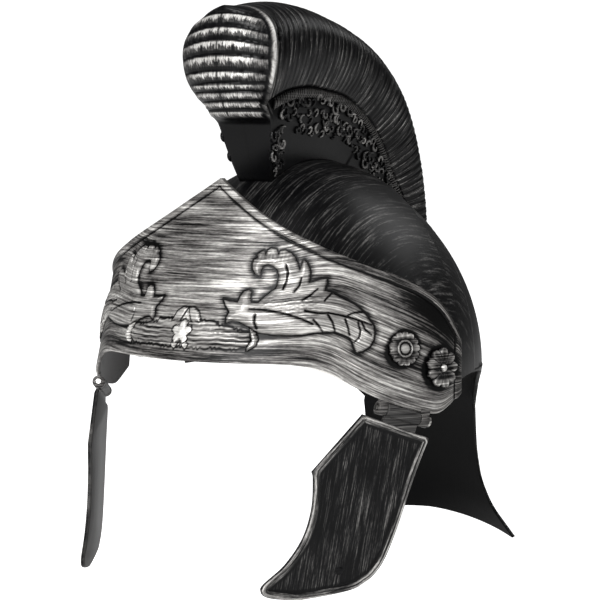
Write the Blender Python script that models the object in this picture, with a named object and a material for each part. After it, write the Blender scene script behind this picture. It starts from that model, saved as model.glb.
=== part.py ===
"""A Roman legionary helmet of moulded plastic, built from its separate pieces.

Metres, +Z up. The helmet faces -Y and the wearer's left is +X. The origin is
the inside of the crown, where the helmet sits on a head.
"""
import math

import bmesh
import bpy
from mathutils import Matrix, Vector

# walls and clearances
WALL = 0.0022                 # moulded wall of the skull, brow plate and crest
GAP = 0.0003                  # clearance between neighbouring pieces

# skull: the bowl over the head, a front cap lapped over a rear shell
SKULL_HALF_WIDTH = 0.0915
SKULL_FRONT = 0.1110          # from the middle to the forehead
SKULL_REAR = 0.1310           # from the middle to the back of the head
SKULL_RISE = 0.1180           # from its widest level to its top
SKULL_FULLNESS = 1.9          # 2 is an ellipsoid, more is boxier
SKULL_SQUARE = 2.15           # the same for its plan
SEAM_BACK = 0.0174            # the cap's rear edge behind the middle, at the widest level
SEAM_LEAN = 0.13              # run of that edge to the rear for each unit of height
LAP = 0.010                   # how far the rear shell runs under the cap
LAP_CLEAR = 0.0010            # between the two at the corners of their flats
CAP_FRONT_EDGE = 0.0190       # the cap's lower edge in front, above the widest level
CAP_SIDE_EDGE = 0.0040        # and at its sides
CAP_EDGE_TURN = (48.0, 74.0)  # degrees from straight ahead between which that edge comes down

# neck guard: the flared tail of the rear shell, below its ear arches
NECK_DROP = 0.1055            # from the widest level to the middle of its rim
NECK_HALF_WIDTH = 0.0740      # at its corners
NECK_CORNER_DROP = 0.0075     # the corners below the middle of the rim

# brow plate: the pointed plate round the forehead and temples
BROW_PEAK = 0.095             # from its lower edge to its point
BROW_ABOVE = 0.016            # its lower edge in front, above the skull's widest level
BROW_DIP = 0.029              # how far its sides hang below that edge
BROW_STANDOFF = 0.0240        # its sides outside the skull's half width
BROW_LEAN = 0.436             # backward run of the front for each unit of height
BROW_SIDE_LEAN = 0.039
BROW_SQUARE = 1.95            # 2 is an ellipse in plan, more is boxier
BROW_CLEAR = 0.0005           # between the plate's back and the cap, where it comes nearest
RIM_WIDTH = 0.0032
RIM_RISE = 0.0012
RIM_ROOT = 0.0008             # sloping foot of the raised rim
RIM_TURN = 1.25               # its foot at the plate's ends, as a share of its width
RELIEF_RISE = 0.0024
RELIEF_ROOT = 0.0012          # how deep a relief is rooted in the wall

# the scroll cast on each side of the plate
SCROLL_START = 9.4            # degrees round the plate from the middle of the forehead
SCROLL_SPAN = 42.5            # degrees
SCROLL_HEIGHT = 0.052
SCROLL_BASE = 0.006           # above the plate's lower edge

# the bound bundle cast on the forehead
BUNDLE_HALF_SPAN = 19.1       # degrees round the plate
BUNDLE_HEIGHT = 0.015
BUNDLE_BASE = 0.007
FLOWER_RADIUS = 0.0075
FLOWER_PETALS = 6

# rosette studs, which pin the plate to the cap
STUD_RADIUS = 0.0020
STUD_LENGTH = 0.0290
ROSETTE_THICK = 0.0024
ROSETTE_PETALS = 8
FRONT_ROSETTE = {"radius": 0.0100, "angle": 60.8, "height": 0.0065}
REAR_ROSETTE = {"radius": 0.0112, "angle": 73.0, "height": -0.0050}

# cheek guards and their hinges
HINGE_START = 55.4            # degrees round the plate, front end of the hinge
HINGE_END = 69.2
HINGE_DROP = 0.0044           # the hinge's axis below the plate's edge
HINGE_TOE = 0.0011            # its front end inside and its rear end outside the wall's middle
KNUCKLE_RADIUS = 0.0036
KNUCKLE_LENGTH = 0.0050
PIN_RADIUS = 0.0014
PIN_HEAD_RADIUS = 0.0026
PIN_HEAD_LENGTH = 0.0012
PIN_STAND = 0.0008            # the pin's plain end in front of its knuckle
WEB_SHARE = 0.84              # a knuckle's web, as a share of the wall
LUG_SHARE = 0.4               # how far a lug runs into the plate, as a share of its knuckle
BORE_RUN = 0.010              # how far a cutter for the pin runs past the hinge
GUARD_WIDTH = 0.100           # from its rear corner to the tip of its point
GUARD_LENGTH = 0.094          # from its front top corner down to its lower edge
GUARD_THICK = 0.0026
GUARD_BORDER = 0.0040
GUARD_RECESS = 0.0009
GUARD_STEP = 0.0006           # sloping run between the border and the sunk panel
GUARD_WEB = 0.0076            # from the hinge's axis down into the guard's flange

# crest: two hollow halves that meet on the helmet's middle plane
CREST_CENTRE_FORWARD = 0.006  # its arcs' centre ahead of the middle of the skull
CREST_CENTRE_DROP = 0.060     # and below the top of the skull
CREST_RADIUS = 0.145
CREST_ROPE_RADIUS = 0.098
CREST_ROPE_WIDTH = 0.0070
CREST_HALF_WIDTH = 0.030
CREST_FRONT_ANGLE = 30.0      # degrees ahead of upright, the face's border
CREST_TAIL_ANGLE = 94.0       # degrees behind upright
CREST_NOSE = 0.012            # how far the front face swells ahead of its border
CREST_SEAT = 0.0011           # from its foot to the skull, at the corners of its flats
STEP_CLEAR = 0.0010           # from the cap's rear edge to the step in the foot
STEP_SHARE = 0.002            # half the step's run, as a share of the crest's length
ROPE_SHARES = (0.30, 0.55)    # the rope's least and most share of the way from foot to rim
ROPE_SWELL = 0.09             # how much further out it runs at the face
ROPE_SWELL_SHARE = 0.26       # share of the length over which that fades
BEAD_SHARE = 0.20             # the rope's half width, at most, as a share of foot to rim
FACE_SHARE = 0.30             # share of the length over which sections bend to the face's border

# levels worked out from the sizes above
CROWN = WALL
WIDEST = CROWN - SKULL_RISE
BROW_LEVEL = WIDEST + BROW_ABOVE
CAP_INSIDE = LAP_CLEAR
CAP_OUTSIDE = LAP_CLEAR + WALL
LEAN_STRETCH = math.sqrt(1 + BROW_LEAN ** 2)
BROW_HALF_WIDTH = SKULL_HALF_WIDTH + BROW_STANDOFF
CREST_CENTRE = (-CREST_CENTRE_FORWARD, WIDEST + SKULL_RISE - CREST_CENTRE_DROP)

# shares of the skull's rise at which the cap's columns cross the seam, from the sides to the top
SEAM_LIFTS = (0.10, 0.20, 0.30, 0.40, 0.50, 0.60, 0.70, 0.80, 0.87, 0.92, 0.95)
CAP_SHARES = (0.00, 0.06, 0.15, 0.26, 0.38, 0.50, 0.62, 0.74, 0.86, 1.00)
# the same for the rear shell, with shares down its bowl and down to the neck guard's waist
SHELL_LIFTS = (0.00, 0.35, 0.60, 0.75)
SHELL_SHARES = (0.00, 0.16, 0.32, 0.48, 0.64, 0.82, 1.00)
WAIST_SHARES = (0.30, 0.60, 0.82, 1.00)

# rear shell's edge over the ear, from the widest level: degrees from straight ahead, share of
# the half width inwards, share of the rear depth backwards, share of the neck's drop
EAR_ARCH = (
    (97.0, 0.000, 0.000, 0.038), (104.0, 0.000, 0.000, 0.012), (110.0, 0.000, 0.000, 0.012),
    (118.0, 0.000, 0.005, 0.024), (126.0, 0.012, 0.000, 0.052), (134.0, 0.015, 0.012, 0.076),
    (141.0, 0.027, 0.045, 0.133), (146.0, 0.058, 0.107, 0.218), (149.0, 0.092, 0.164, 0.332),
)
TAIL_ANGLES = (154.0, 160.0, 167.0, 174.0)
# neck guard below the arches: share of the way to its rim, share of its half width,
# depth in the middle and at its edge as shares of the skull's rear depth
NECK_TAIL = (
    (0.00, 0.554, 1.069, 1.031), (0.18, 0.547, 1.073, 1.046), (0.37, 0.554, 1.080, 1.053),
    (0.59, 0.608, 1.095, 1.042), (0.79, 0.743, 1.118, 1.011), (0.91, 0.892, 1.141, 0.985),
    (1.00, 1.000, 1.164, 0.966),
)

# brow plate's edges: degrees, share of the dip below, share of the peak above
BROW_EDGES = (
    (0.0, 0.00, 1.000), (5.7, 0.00, 0.925), (10.5, 0.00, 0.866), (15.3, 0.00, 0.808),
    (20.5, 0.00, 0.753), (25.8, 0.00, 0.702), (31.5, 0.01, 0.654), (36.8, 0.06, 0.609),
    (42.5, 0.20, 0.568), (48.2, 0.40, 0.529), (54.4, 0.61, 0.488), (58.7, 0.73, 0.454),
    (63.0, 0.84, 0.421), (66.9, 0.93, 0.382), (70.7, 0.99, 0.335), (73.5, 1.00, 0.285),
    (76.2, 0.90, 0.225), (78.6, 0.79, 0.155), (80.5, 0.70, 0.090),
)

# scroll, from its curled tip to its tail: share of the span, share of the height,
# half width as a share of the height, share of the relief's rise
SCROLL_SECTIONS = (
    (0.22, 0.72, 0.04, 0.70), (0.17, 0.80, 0.07, 0.80), (0.17, 0.88, 0.09, 0.90),
    (0.24, 0.92, 0.10, 1.00), (0.32, 0.84, 0.13, 1.00), (0.35, 0.70, 0.14, 1.00),
    (0.38, 0.52, 0.16, 1.00), (0.48, 0.38, 0.18, 1.00), (0.60, 0.36, 0.17, 1.00),
    (0.74, 0.38, 0.15, 1.00), (0.86, 0.34, 0.12, 1.00), (0.94, 0.24, 0.09, 0.90),
    (0.96, 0.12, 0.06, 0.80), (0.91, 0.03, 0.02, 0.60),
)
HORN_SECTIONS = (
    (0.36, 0.80, 0.05, 0.60), (0.44, 0.87, 0.07, 0.90), (0.52, 0.93, 0.02, 0.60),
)
SPIKE_SECTIONS = (
    (0.52, 0.50, 0.12, 0.70), (0.60, 0.66, 0.09, 0.90), (0.66, 0.77, 0.02, 0.60),
)
BODY_SECTIONS = (
    (0.50, 0.30, 0.10, 0.80), (0.34, 0.32, 0.12, 0.90), (0.20, 0.42, 0.13, 0.90),
    (0.10, 0.38, 0.12, 0.80), (0.02, 0.50, 0.02, 0.60),
)

# cheek guard's outline, round from its front top corner: share of its width
# ahead of the hinge's middle, share of its length below it
GUARD_OUTLINE = (
    (0.230, -0.016), (0.520, 0.282), (0.512, 0.325), (0.520, 0.484), (0.570, 0.644),
    (0.670, 0.782), (0.790, 0.878), (0.805, 0.915), (0.780, 0.948), (0.700, 0.970),
    (0.570, 0.984), (0.310, 0.963), (0.215, 0.925), (0.160, 0.885), (0.100, 0.805),
    (0.030, 0.644), (-0.080, 0.335), (-0.160, 0.144),
)

# crest's border ahead of upright: radius as a share, share of the front angle
CREST_BORDER = (
    (0.400, 1.36), (0.466, 1.29), (0.678, 1.06), (0.754, 1.10), (0.850, 1.06),
    (0.965, 0.93), (1.079, 0.73),
)
# crest's length: share from its face to its tail, share of its radius, share of its width
CREST_LENGTH = (
    (0.000, 1.079, 1.00), (0.050, 1.070, 1.00), (0.110, 1.055, 0.99), (0.180, 1.030, 0.97),
    (0.260, 1.000, 0.94), (0.345, 0.982, 0.89), (0.430, 0.978, 0.83), (0.580, 0.969, 0.73),
    (0.650, 0.955, 0.68), (0.710, 0.941, 0.64), (0.765, 0.927, 0.60), (0.815, 0.916, 0.56),
    (0.860, 0.908, 0.53), (0.900, 0.903, 0.49), (0.940, 0.897, 0.42), (0.975, 0.886, 0.30),
    (1.000, 0.870, 0.00),
)
# crest's side: share of the way from the base to the rope, share of the half width
CREST_PANEL = ((0.0, 0.36), (0.30, 0.44), (0.60, 0.52), (0.90, 0.60))
# crest's hair: share of the way from the rope to the rim, share of the half width
CREST_HAIR = (
    (0.08, 0.66), (0.20, 0.78), (0.34, 0.88), (0.50, 0.96), (0.66, 1.00),
    (0.80, 0.96), (0.90, 0.82), (0.97, 0.52), (1.00, 0.00),
)

SILVER_BLACK = {"colour": (0.20, 0.20, 0.20), "roughness": 0.42, "metallic": 0.7}
BRUSHED_SILVER = {"colour": (0.42, 0.41, 0.40), "roughness": 0.38, "metallic": 0.8}


def between(table, column, value):
    """Reads one column of a table at a value of its first column, in straight runs."""
    for low, high in zip(table, table[1:]):
        if value <= high[0]:
            share = (value - low[0]) / (high[0] - low[0])
            return low[column] + (high[column] - low[column]) * max(share, 0.0)
    return table[-1][column]


def smooth(share):
    """Share from 0 to 1 with soft ends."""
    share = min(max(share, 0.0), 1.0)
    return share * share * (3 - 2 * share)


def make_material(name, look):
    """Principled material with the piece's colour, roughness and metallic value."""
    material = bpy.data.materials.new(name)
    material.use_nodes = True
    shader = material.node_tree.nodes["Principled BSDF"]
    shader.inputs["Base Color"].default_value = (*look["colour"], 1.0)
    shader.inputs["Roughness"].default_value = look["roughness"]
    shader.inputs["Metallic"].default_value = look["metallic"]
    return material


def add_object(name, mesh, look, sharp_degrees=35.0):
    """Names a mesh as one piece of the helmet and gives it its material."""
    mesh.name = name
    mesh.materials.clear()
    mesh.materials.append(make_material(name, look))
    mesh.shade_smooth()
    mesh.set_sharp_from_angle(angle=math.radians(sharp_degrees))
    piece = bpy.data.objects.new(name, mesh)
    bpy.context.scene.collection.objects.link(piece)
    return piece


def closed_mesh(name, points, faces):
    """Closed body from points and faces, with doubles merged and faces turned out."""
    work = bmesh.new()
    vertices = [work.verts.new(point) for point in points]
    for face in faces:
        work.faces.new([vertices[index] for index in face])
    bmesh.ops.remove_doubles(work, verts=work.verts, dist=0.00001)
    bmesh.ops.dissolve_degenerate(work, edges=work.edges, dist=0.00001)
    bmesh.ops.triangulate(work, faces=[face for face in work.faces if len(face.verts) > 4])
    bmesh.ops.recalc_face_normals(work, faces=work.faces)
    mesh = bpy.data.meshes.new(name)
    work.to_mesh(mesh)
    work.free()
    return mesh


def wall_mesh(name, outer, inner, ring=False):
    """Wall between two grids of points, outer and inner, joined along their edges."""
    columns, rows = len(outer), len(outer[0])
    points = [point for grid in (outer, inner) for column in grid for point in column]

    def index(side, column, row):
        return (side * columns + column % columns) * rows + row

    faces = []
    last = columns if ring else columns - 1
    for column in range(last):
        for row in range(rows - 1):
            for side in (0, 1):
                corners = [index(side, column, row), index(side, column, row + 1),
                           index(side, column + 1, row + 1), index(side, column + 1, row)]
                faces.append(corners if side else corners[::-1])
        for row in (0, rows - 1):
            faces.append([index(0, column, row), index(0, column + 1, row),
                          index(1, column + 1, row), index(1, column, row)])
    if not ring:
        for column in (0, columns - 1):
            for row in range(rows - 1):
                faces.append([index(0, column, row), index(0, column, row + 1),
                              index(1, column, row + 1), index(1, column, row)])
    return closed_mesh(name, points, [face for face in faces if not is_flat(points, face)])


def shell_mesh(name, outer, is_wall):
    """Wall of even thickness behind a grid of points, where is_wall(column, row) is true."""
    rows = len(outer[0])
    cells = [(column, row) for column in range(len(outer) - 1) for row in range(rows - 1)
             if is_wall(column, row)]
    normals = {}
    uses = {}
    for column, row in cells:
        ring = [(column, row), (column, row + 1), (column + 1, row + 1), (column + 1, row)]
        corners = [outer[place][level] for place, level in ring]
        normal = (corners[2] - corners[0]).cross(corners[3] - corners[1])
        for place, ahead in zip(ring, ring[1:] + ring[:1]):
            normals[place] = normals.get(place, Vector()) + normal
            uses[frozenset((place, ahead))] = uses.get(frozenset((place, ahead)), 0) + 1
    places = list(normals)
    number = {place: index for index, place in enumerate(places)}
    points = [outer[column][row] for column, row in places]
    points += [outer[column][row] - normals[column, row].normalized() * WALL for column, row in places]
    behind = len(places)
    faces = []
    for column, row in cells:
        ring = [number[place] for place in ((column, row), (column, row + 1),
                                            (column + 1, row + 1), (column + 1, row))]
        faces.append(ring)
        faces.append([index + behind for index in ring[::-1]])
    for edge, count in uses.items():
        if count == 1:
            first, second = (number[place] for place in edge)
            faces.append([first, second, second + behind, first + behind])
    return closed_mesh(name, points, faces)


def is_flat(points, face):
    """True for a face whose four corners fall on two places, as at a pole."""
    places = {tuple(round(value, 7) for value in points[index]) for index in face}
    return len(places) < 3


def mirrored(mesh, name):
    """Copy of a mesh on the other side of the helmet."""
    copy = mesh.copy()
    copy.transform(Matrix.Scale(-1.0, 4, Vector((1.0, 0.0, 0.0))))
    copy.flip_normals()
    copy.name = name
    return copy


def combined(base, others, operation):
    """Applies exact Boolean operations to a mesh and returns the result."""
    body = bpy.data.objects.new("body", base)
    bpy.context.scene.collection.objects.link(body)
    tools = []
    for mesh in others:
        tool = bpy.data.objects.new("tool", mesh)
        bpy.context.scene.collection.objects.link(tool)
        modifier = body.modifiers.new("join", "BOOLEAN")
        modifier.operation = operation
        modifier.solver = "EXACT"
        modifier.use_self = operation == "UNION"
        modifier.object = tool
        tools.append(tool)
    graph = bpy.context.evaluated_depsgraph_get()
    result = bpy.data.meshes.new_from_object(body.evaluated_get(graph))
    for item in [body, *tools]:
        bpy.data.objects.remove(item, do_unlink=True)
    return result


def rod(start, end, radius, sides=12):
    """Closed round rod between two points."""
    axis = (end - start).normalized()
    side = axis.orthogonal().normalized()
    across = axis.cross(side)
    points = []
    for place in (start, end):
        for step in range(sides):
            turn = 2 * math.pi * step / sides
            points.append(place + (side * math.cos(turn) + across * math.sin(turn)) * radius)
    faces = [[step, (step + 1) % sides, sides + (step + 1) % sides, sides + step] for step in range(sides)]
    faces.append(list(range(sides))[::-1])
    faces.append(list(range(sides, 2 * sides)))
    return closed_mesh("rod", points, faces)


def plan_point(angle, half_width, depth, power):
    """Point of a plan outline, at an angle from straight ahead, positive to the left."""
    sine, cosine = math.sin(angle), math.cos(angle)
    across = math.copysign(abs(sine) ** (2 / power), sine)
    along = math.copysign(abs(cosine) ** (2 / power), cosine)
    return half_width * across, -depth * along


def skull_point(degrees, reach, offset):
    """Point of the skull: reach 0 is its crown and 1 its widest level."""
    angle = math.radians(degrees)
    turn = reach * math.pi / 2
    spread = max(math.sin(turn), 0.0) ** (2 / SKULL_FULLNESS)
    lift = max(math.cos(turn), 0.0) ** (2 / SKULL_FULLNESS)
    depth = SKULL_FRONT if math.cos(angle) > 0 else SKULL_REAR
    x, y = plan_point(angle, SKULL_HALF_WIDTH + offset, depth + offset, SKULL_SQUARE)
    return Vector((x * spread, y * spread, WIDEST + (SKULL_RISE + offset) * lift))


def seam_y(z, lap=0.0):
    """Where the cap's rear edge lies at a height."""
    return SEAM_BACK + SEAM_LEAN * (z - WIDEST) - lap


def seam_reach(degrees, offset, lap=0.0):
    """Reach at which a column of the skull crosses the seam, or 1 where it never does."""
    low, high = 0.0, 1.0
    rim = skull_point(degrees, 1.0, offset)
    if rim.y <= seam_y(rim.z, lap):
        return 1.0
    for _ in range(40):
        middle = (low + high) / 2
        point = skull_point(degrees, middle, offset)
        if point.y > seam_y(point.z, lap):
            high = middle
        else:
            low = middle
    return high


def seam_column(lift, lap=0.0):
    """Angle of the skull's column that crosses the seam at a share of the skull's rise."""
    spread = (1.0 - lift ** SKULL_FULLNESS) ** (1 / SKULL_FULLNESS)
    back = seam_y(WIDEST + SKULL_RISE * lift, lap) / (SKULL_REAR * spread)
    return 90.0 + math.degrees(math.asin(min(back, 1.0) ** (SKULL_SQUARE / 2)))


def cap_reach(degrees, offset):
    """How far the front cap runs down a column of the skull."""
    if abs(degrees) > seam_column(0.0) + 0.01:
        return seam_reach(degrees, offset)
    start, end = CAP_EDGE_TURN
    side = smooth((abs(degrees) - start) / (end - start))
    rise = CAP_FRONT_EDGE + (CAP_SIDE_EDGE - CAP_FRONT_EDGE) * side
    return math.acos((rise / (SKULL_RISE + offset)) ** (SKULL_FULLNESS / 2)) / (math.pi / 2)


def build_skull_front(holes):
    """Front cap of the skull, from the forehead to its seam over the ears."""
    edge = seam_column(0.0)
    front = [edge * step / 12 for step in range(13)]
    rear = [seam_column(lift) for lift in SEAM_LIFTS]
    half = front + rear + [(rear[-1] + 180.0) / 2]
    angles = half + [180.0] + [-value for value in half[:0:-1]]

    def grid(offset):
        return [[skull_point(angle, cap_reach(angle, offset) * share, offset) for share in CAP_SHARES]
                for angle in angles]

    cap = wall_mesh("skull_front", grid(CAP_OUTSIDE), grid(CAP_INSIDE), ring=True)
    cap = combined(cap, holes, "DIFFERENCE")
    return add_object("skull_front", cap, SILVER_BLACK)


def tail_half():
    """Half width of the skull where the neck guard's edge columns start."""
    return skull_point(EAR_ARCH[-1][0], 1.0, 0.0).x


def arch_point(degrees):
    """Point of the rear shell's edge over the ear, or of the neck guard's waist."""
    top = skull_point(degrees, 1.0, 0.0)
    if degrees <= EAR_ARCH[-1][0]:
        _, inwards, backwards, drop = (between(EAR_ARCH, column, degrees) for column in range(4))
        return top + Vector((-SKULL_HALF_WIDTH * inwards, SKULL_REAR * backwards, -NECK_DROP * drop))
    return tail_point(top.x / tail_half(), NECK_TAIL[0])


def tail_point(across, row):
    """Point of the neck guard: across 0 is its middle and 1 its edge."""
    down, half, middle, edge = row
    waist = WIDEST - NECK_DROP * EAR_ARCH[-1][3]
    rim = WIDEST - NECK_DROP - NECK_CORNER_DROP * across ** 1.5
    depth = SKULL_REAR * (middle + (edge - middle) * across ** 2)
    return Vector((NECK_HALF_WIDTH * half * across, depth, waist + (rim - waist) * down))


def rear_column(degrees):
    """Points down one column of the rear shell, from under the cap to the neck guard's rim."""
    start = seam_reach(degrees, 0.0, LAP)
    column = [skull_point(degrees, start + (1.0 - start) * share, 0.0) for share in SHELL_SHARES]
    top, waist = column[-1], arch_point(degrees)
    for share in WAIST_SHARES:
        point = top.lerp(waist, smooth(share))
        point.z = top.z + (waist.z - top.z) * share
        column.append(point)
    across = min(top.x / tail_half(), 1.0)
    return column + [tail_point(across, row) for row in NECK_TAIL[1:]]


def build_skull_rear():
    """Rear shell of the skull, with the ear arches and the flared neck guard."""
    half = [seam_column(lift, LAP) for lift in SHELL_LIFTS]
    half += [row[0] for row in EAR_ARCH if row[0] > half[-1]] + list(TAIL_ANGLES) + [180.0]
    left = [rear_column(angle) for angle in half]
    right = [[Vector((-point.x, point.y, point.z)) for point in column] for column in left[-2::-1]]
    columns = left + right
    first_tail = half.index(EAR_ARCH[-1][0])
    last_tail = len(columns) - 1 - first_tail
    tail_rows = len(NECK_TAIL) - 1
    waist_row = len(columns[0]) - 1 - tail_rows

    def is_wall(column, row):
        return row < waist_row or first_tail <= column < last_tail

    shell = shell_mesh("skull_rear", columns, is_wall)
    return add_object("skull_rear", shell, SILVER_BLACK)


def brow_front():
    """Depth of the plate at its lower edge: its leaning back just clears the cap."""
    reach = 0.0
    for step in range(200):
        lift = step / 200
        spread = (1.0 - lift ** SKULL_FULLNESS) ** (1 / SKULL_FULLNESS)
        height = lift * (SKULL_RISE + CAP_OUTSIDE) - BROW_ABOVE
        if height > 0:
            reach = max(reach, (SKULL_FRONT + CAP_OUTSIDE) * spread + BROW_LEAN * height)
    return reach + BROW_CLEAR + WALL * LEAN_STRETCH


BROW_FRONT = brow_front()


def brow_point(degrees, height, offset=0.0):
    """Point of the plate's outer face at an angle and a height above its front lower edge."""
    half = BROW_HALF_WIDTH - BROW_SIDE_LEAN * height + offset
    depth = BROW_FRONT - BROW_LEAN * height + offset * LEAN_STRETCH
    x, y = plan_point(math.radians(degrees), half, depth, BROW_SQUARE)
    return Vector((x, y, BROW_LEVEL + height))


def brow_low(degrees):
    """Height of the plate's lower edge at an angle."""
    return -BROW_DIP * between(BROW_EDGES, 1, abs(degrees))


def brow_top(degrees):
    """Height of the plate's upper edge at an angle."""
    return BROW_PEAK * between(BROW_EDGES, 2, abs(degrees))


def brow_normal(degrees, height):
    """Outward direction of the plate's face."""
    place = brow_point(degrees, height)
    along = brow_point(degrees + 0.5, height) - place
    up = brow_point(degrees, height + 0.001) - place
    return along.cross(up).normalized()


def relief_mesh(sections, side=1.0):
    """Raised leaf on the plate, swept through sections of angle, height, half width and rise."""
    places = [Vector((row[0], row[1], 0.0)) for row in sections]
    loops = []
    for number, row in enumerate(sections):
        ahead = places[min(number + 1, len(places) - 1)] - places[max(number - 1, 0)]
        ahead.normalize()
        across = Vector((-ahead.y, ahead.x, 0.0))
        loop = []
        for shift, rise in ((-1.15, None), (-0.85, 0.62), (0.0, 1.0), (0.85, 0.62), (1.15, None)):
            spot = places[number] + across * row[2] * shift
            lift = -RELIEF_ROOT if rise is None else RELIEF_RISE * row[3] * rise
            degrees = spot.x / radial_degree() * side
            loop.append(brow_point(degrees, spot.y, lift))
        loops.append(loop)
    count = len(loops[0])
    points = [point for loop in loops for point in loop]
    faces = []
    for number in range(len(loops) - 1):
        for step in range(count):
            ahead = (step + 1) % count
            faces.append([number * count + step, number * count + ahead,
                          (number + 1) * count + ahead, (number + 1) * count + step])
    faces.append(list(range(count)))
    faces.append([(len(loops) - 1) * count + step for step in range(count)])
    return closed_mesh("relief", points, faces)


def radial_degree():
    """Length of one degree round the plate, at the forehead."""
    return (brow_point(1.0, 0.0) - brow_point(0.0, 0.0)).length


def scroll_rows(table):
    """Turns a scroll table's shares into lengths on the plate."""
    rows = []
    for along, up, width, rise in table:
        degrees = SCROLL_START + SCROLL_SPAN * along
        rows.append((degrees * radial_degree(), SCROLL_BASE + SCROLL_HEIGHT * up, SCROLL_HEIGHT * width, rise))
    return rows


def bundle_rows():
    """Reliefs of the bound bundle: the bundle, its end bands, flower, lobes and leaves."""
    reach = BUNDLE_HALF_SPAN * radial_degree()
    middle = BUNDLE_BASE + BUNDLE_HEIGHT / 2
    half = BUNDLE_HEIGHT / 2
    bundle = [(reach * step / 6, middle, half * 0.9, 0.65) for step in range(-6, 7)]
    groups = [bundle]
    for side in (-1, 1):
        band = [(side * reach, middle + half * lift, half * 0.24, 1.0) for lift in (-1.25, -0.4, 0.4, 1.25)]
        lobe = [(side * half * 0.30, middle + half * 0.9, half * 0.30, 0.6),
                (side * half * 0.50, middle + half * 1.5, half * 0.34, 0.8),
                (side * half * 0.20, middle + half * 1.95, half * 0.10, 0.5)]
        leaf = [(side * half * 0.10, middle - half * 0.6, half * 0.14, 0.9),
                (side * half * 0.45, middle - half * 1.1, half * 0.22, 0.9),
                (side * half * 0.60, middle - half * 1.5, half * 0.06, 0.6)]
        groups += [band, lobe, leaf]
    return groups


def flower_mesh(degrees, height, radius, petals, thick, lift=0.0):
    """Round flower with scalloped petals and a raised button, on the plate's face."""
    normal = brow_normal(degrees, height)
    up = (Vector((0.0, 0.0, 1.0)) - normal * normal.z).normalized()
    right = up.cross(normal)
    centre = brow_point(degrees, height)
    rings = ((-lift, 1.00), (thick * 0.45, 1.00), (thick, 0.72), (thick * 0.80, 0.48), (thick * 1.5, 0.38))
    count = petals * 2
    points = []
    for rise, share in rings:
        for step in range(count):
            scallop = 1.0 if step % 2 or share < 0.6 else 0.88
            turn = 2 * math.pi * step / count
            across = right * math.cos(turn) + up * math.sin(turn)
            points.append(centre + across * radius * share * scallop + normal * rise)
    faces = []
    for ring in range(len(rings) - 1):
        for step in range(count):
            ahead = (step + 1) % count
            faces.append([ring * count + step, ring * count + ahead,
                          (ring + 1) * count + ahead, (ring + 1) * count + step])
    faces.append(list(range(count))[::-1])
    faces.append([(len(rings) - 1) * count + step for step in range(count)])
    return closed_mesh("flower", points, faces)


def hinge_ends(side):
    """Ends of a cheek guard's hinge axis, front then rear, under the plate's edge."""
    ends = []
    for degrees, toe in ((HINGE_START, -HINGE_TOE), (HINGE_END, HINGE_TOE)):
        ends.append(brow_point(degrees * side, brow_low(degrees) - HINGE_DROP, toe - WALL / 2))
    return ends


def hinge_lugs(side):
    """The plate's two knuckles, each drawn up into the plate's edge."""
    front, rear = hinge_ends(side)
    axis = (rear - front).normalized()
    up = Vector((0.0, 0.0, 1.0))
    length = HINGE_DROP + KNUCKLE_RADIUS * LUG_SHARE
    return [knuckle(start, start + axis * KNUCKLE_LENGTH, up, length)
            for start in (front, rear - axis * KNUCKLE_LENGTH)]


def knuckle(start, end, direction, length, sides=12):
    """Round knuckle along a hinge's axis, with a flat web out to a length."""
    axis = (end - start).normalized()
    out = (direction - axis * axis.dot(direction)).normalized()
    across = axis.cross(out)
    half = WALL * WEB_SHARE / 2
    clear = math.asin(half / KNUCKLE_RADIUS)
    outline = [(half, length)]
    for step in range(sides + 1):
        turn = clear + (2 * math.pi - 2 * clear) * step / sides
        outline.append((KNUCKLE_RADIUS * math.sin(turn), KNUCKLE_RADIUS * math.cos(turn)))
    outline.append((-half, length))
    points = [place + across * x + out * y for place in (start, end) for x, y in outline]
    count = len(outline)
    faces = [[step, (step + 1) % count, count + (step + 1) % count, count + step] for step in range(count)]
    faces += [list(range(count)), list(range(count, 2 * count))]
    return closed_mesh("knuckle", points, faces)


def hinge_bore(side):
    """Cutter for the pin's hole through a hinge."""
    front, rear = hinge_ends(side)
    axis = (rear - front).normalized()
    return rod(front - axis * BORE_RUN, rear + axis * BORE_RUN, PIN_RADIUS + GAP)


def stud_line(rosette, side, start, length, radius):
    """Rod along a rosette stud's axis, from a depth behind the plate's face."""
    degrees = rosette["angle"] * side
    normal = brow_normal(degrees, rosette["height"])
    place = brow_point(degrees, rosette["height"])
    return rod(place - normal * start, place - normal * (start + length), radius, 10)


def stud_holes():
    """Cutters for the holes that the rosettes' studs pass through."""
    return [stud_line(rosette, side, -0.004, STUD_LENGTH + 0.008, STUD_RADIUS + GAP)
            for side in (1.0, -1.0) for rosette in (FRONT_ROSETTE, REAR_ROSETTE)]


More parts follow.
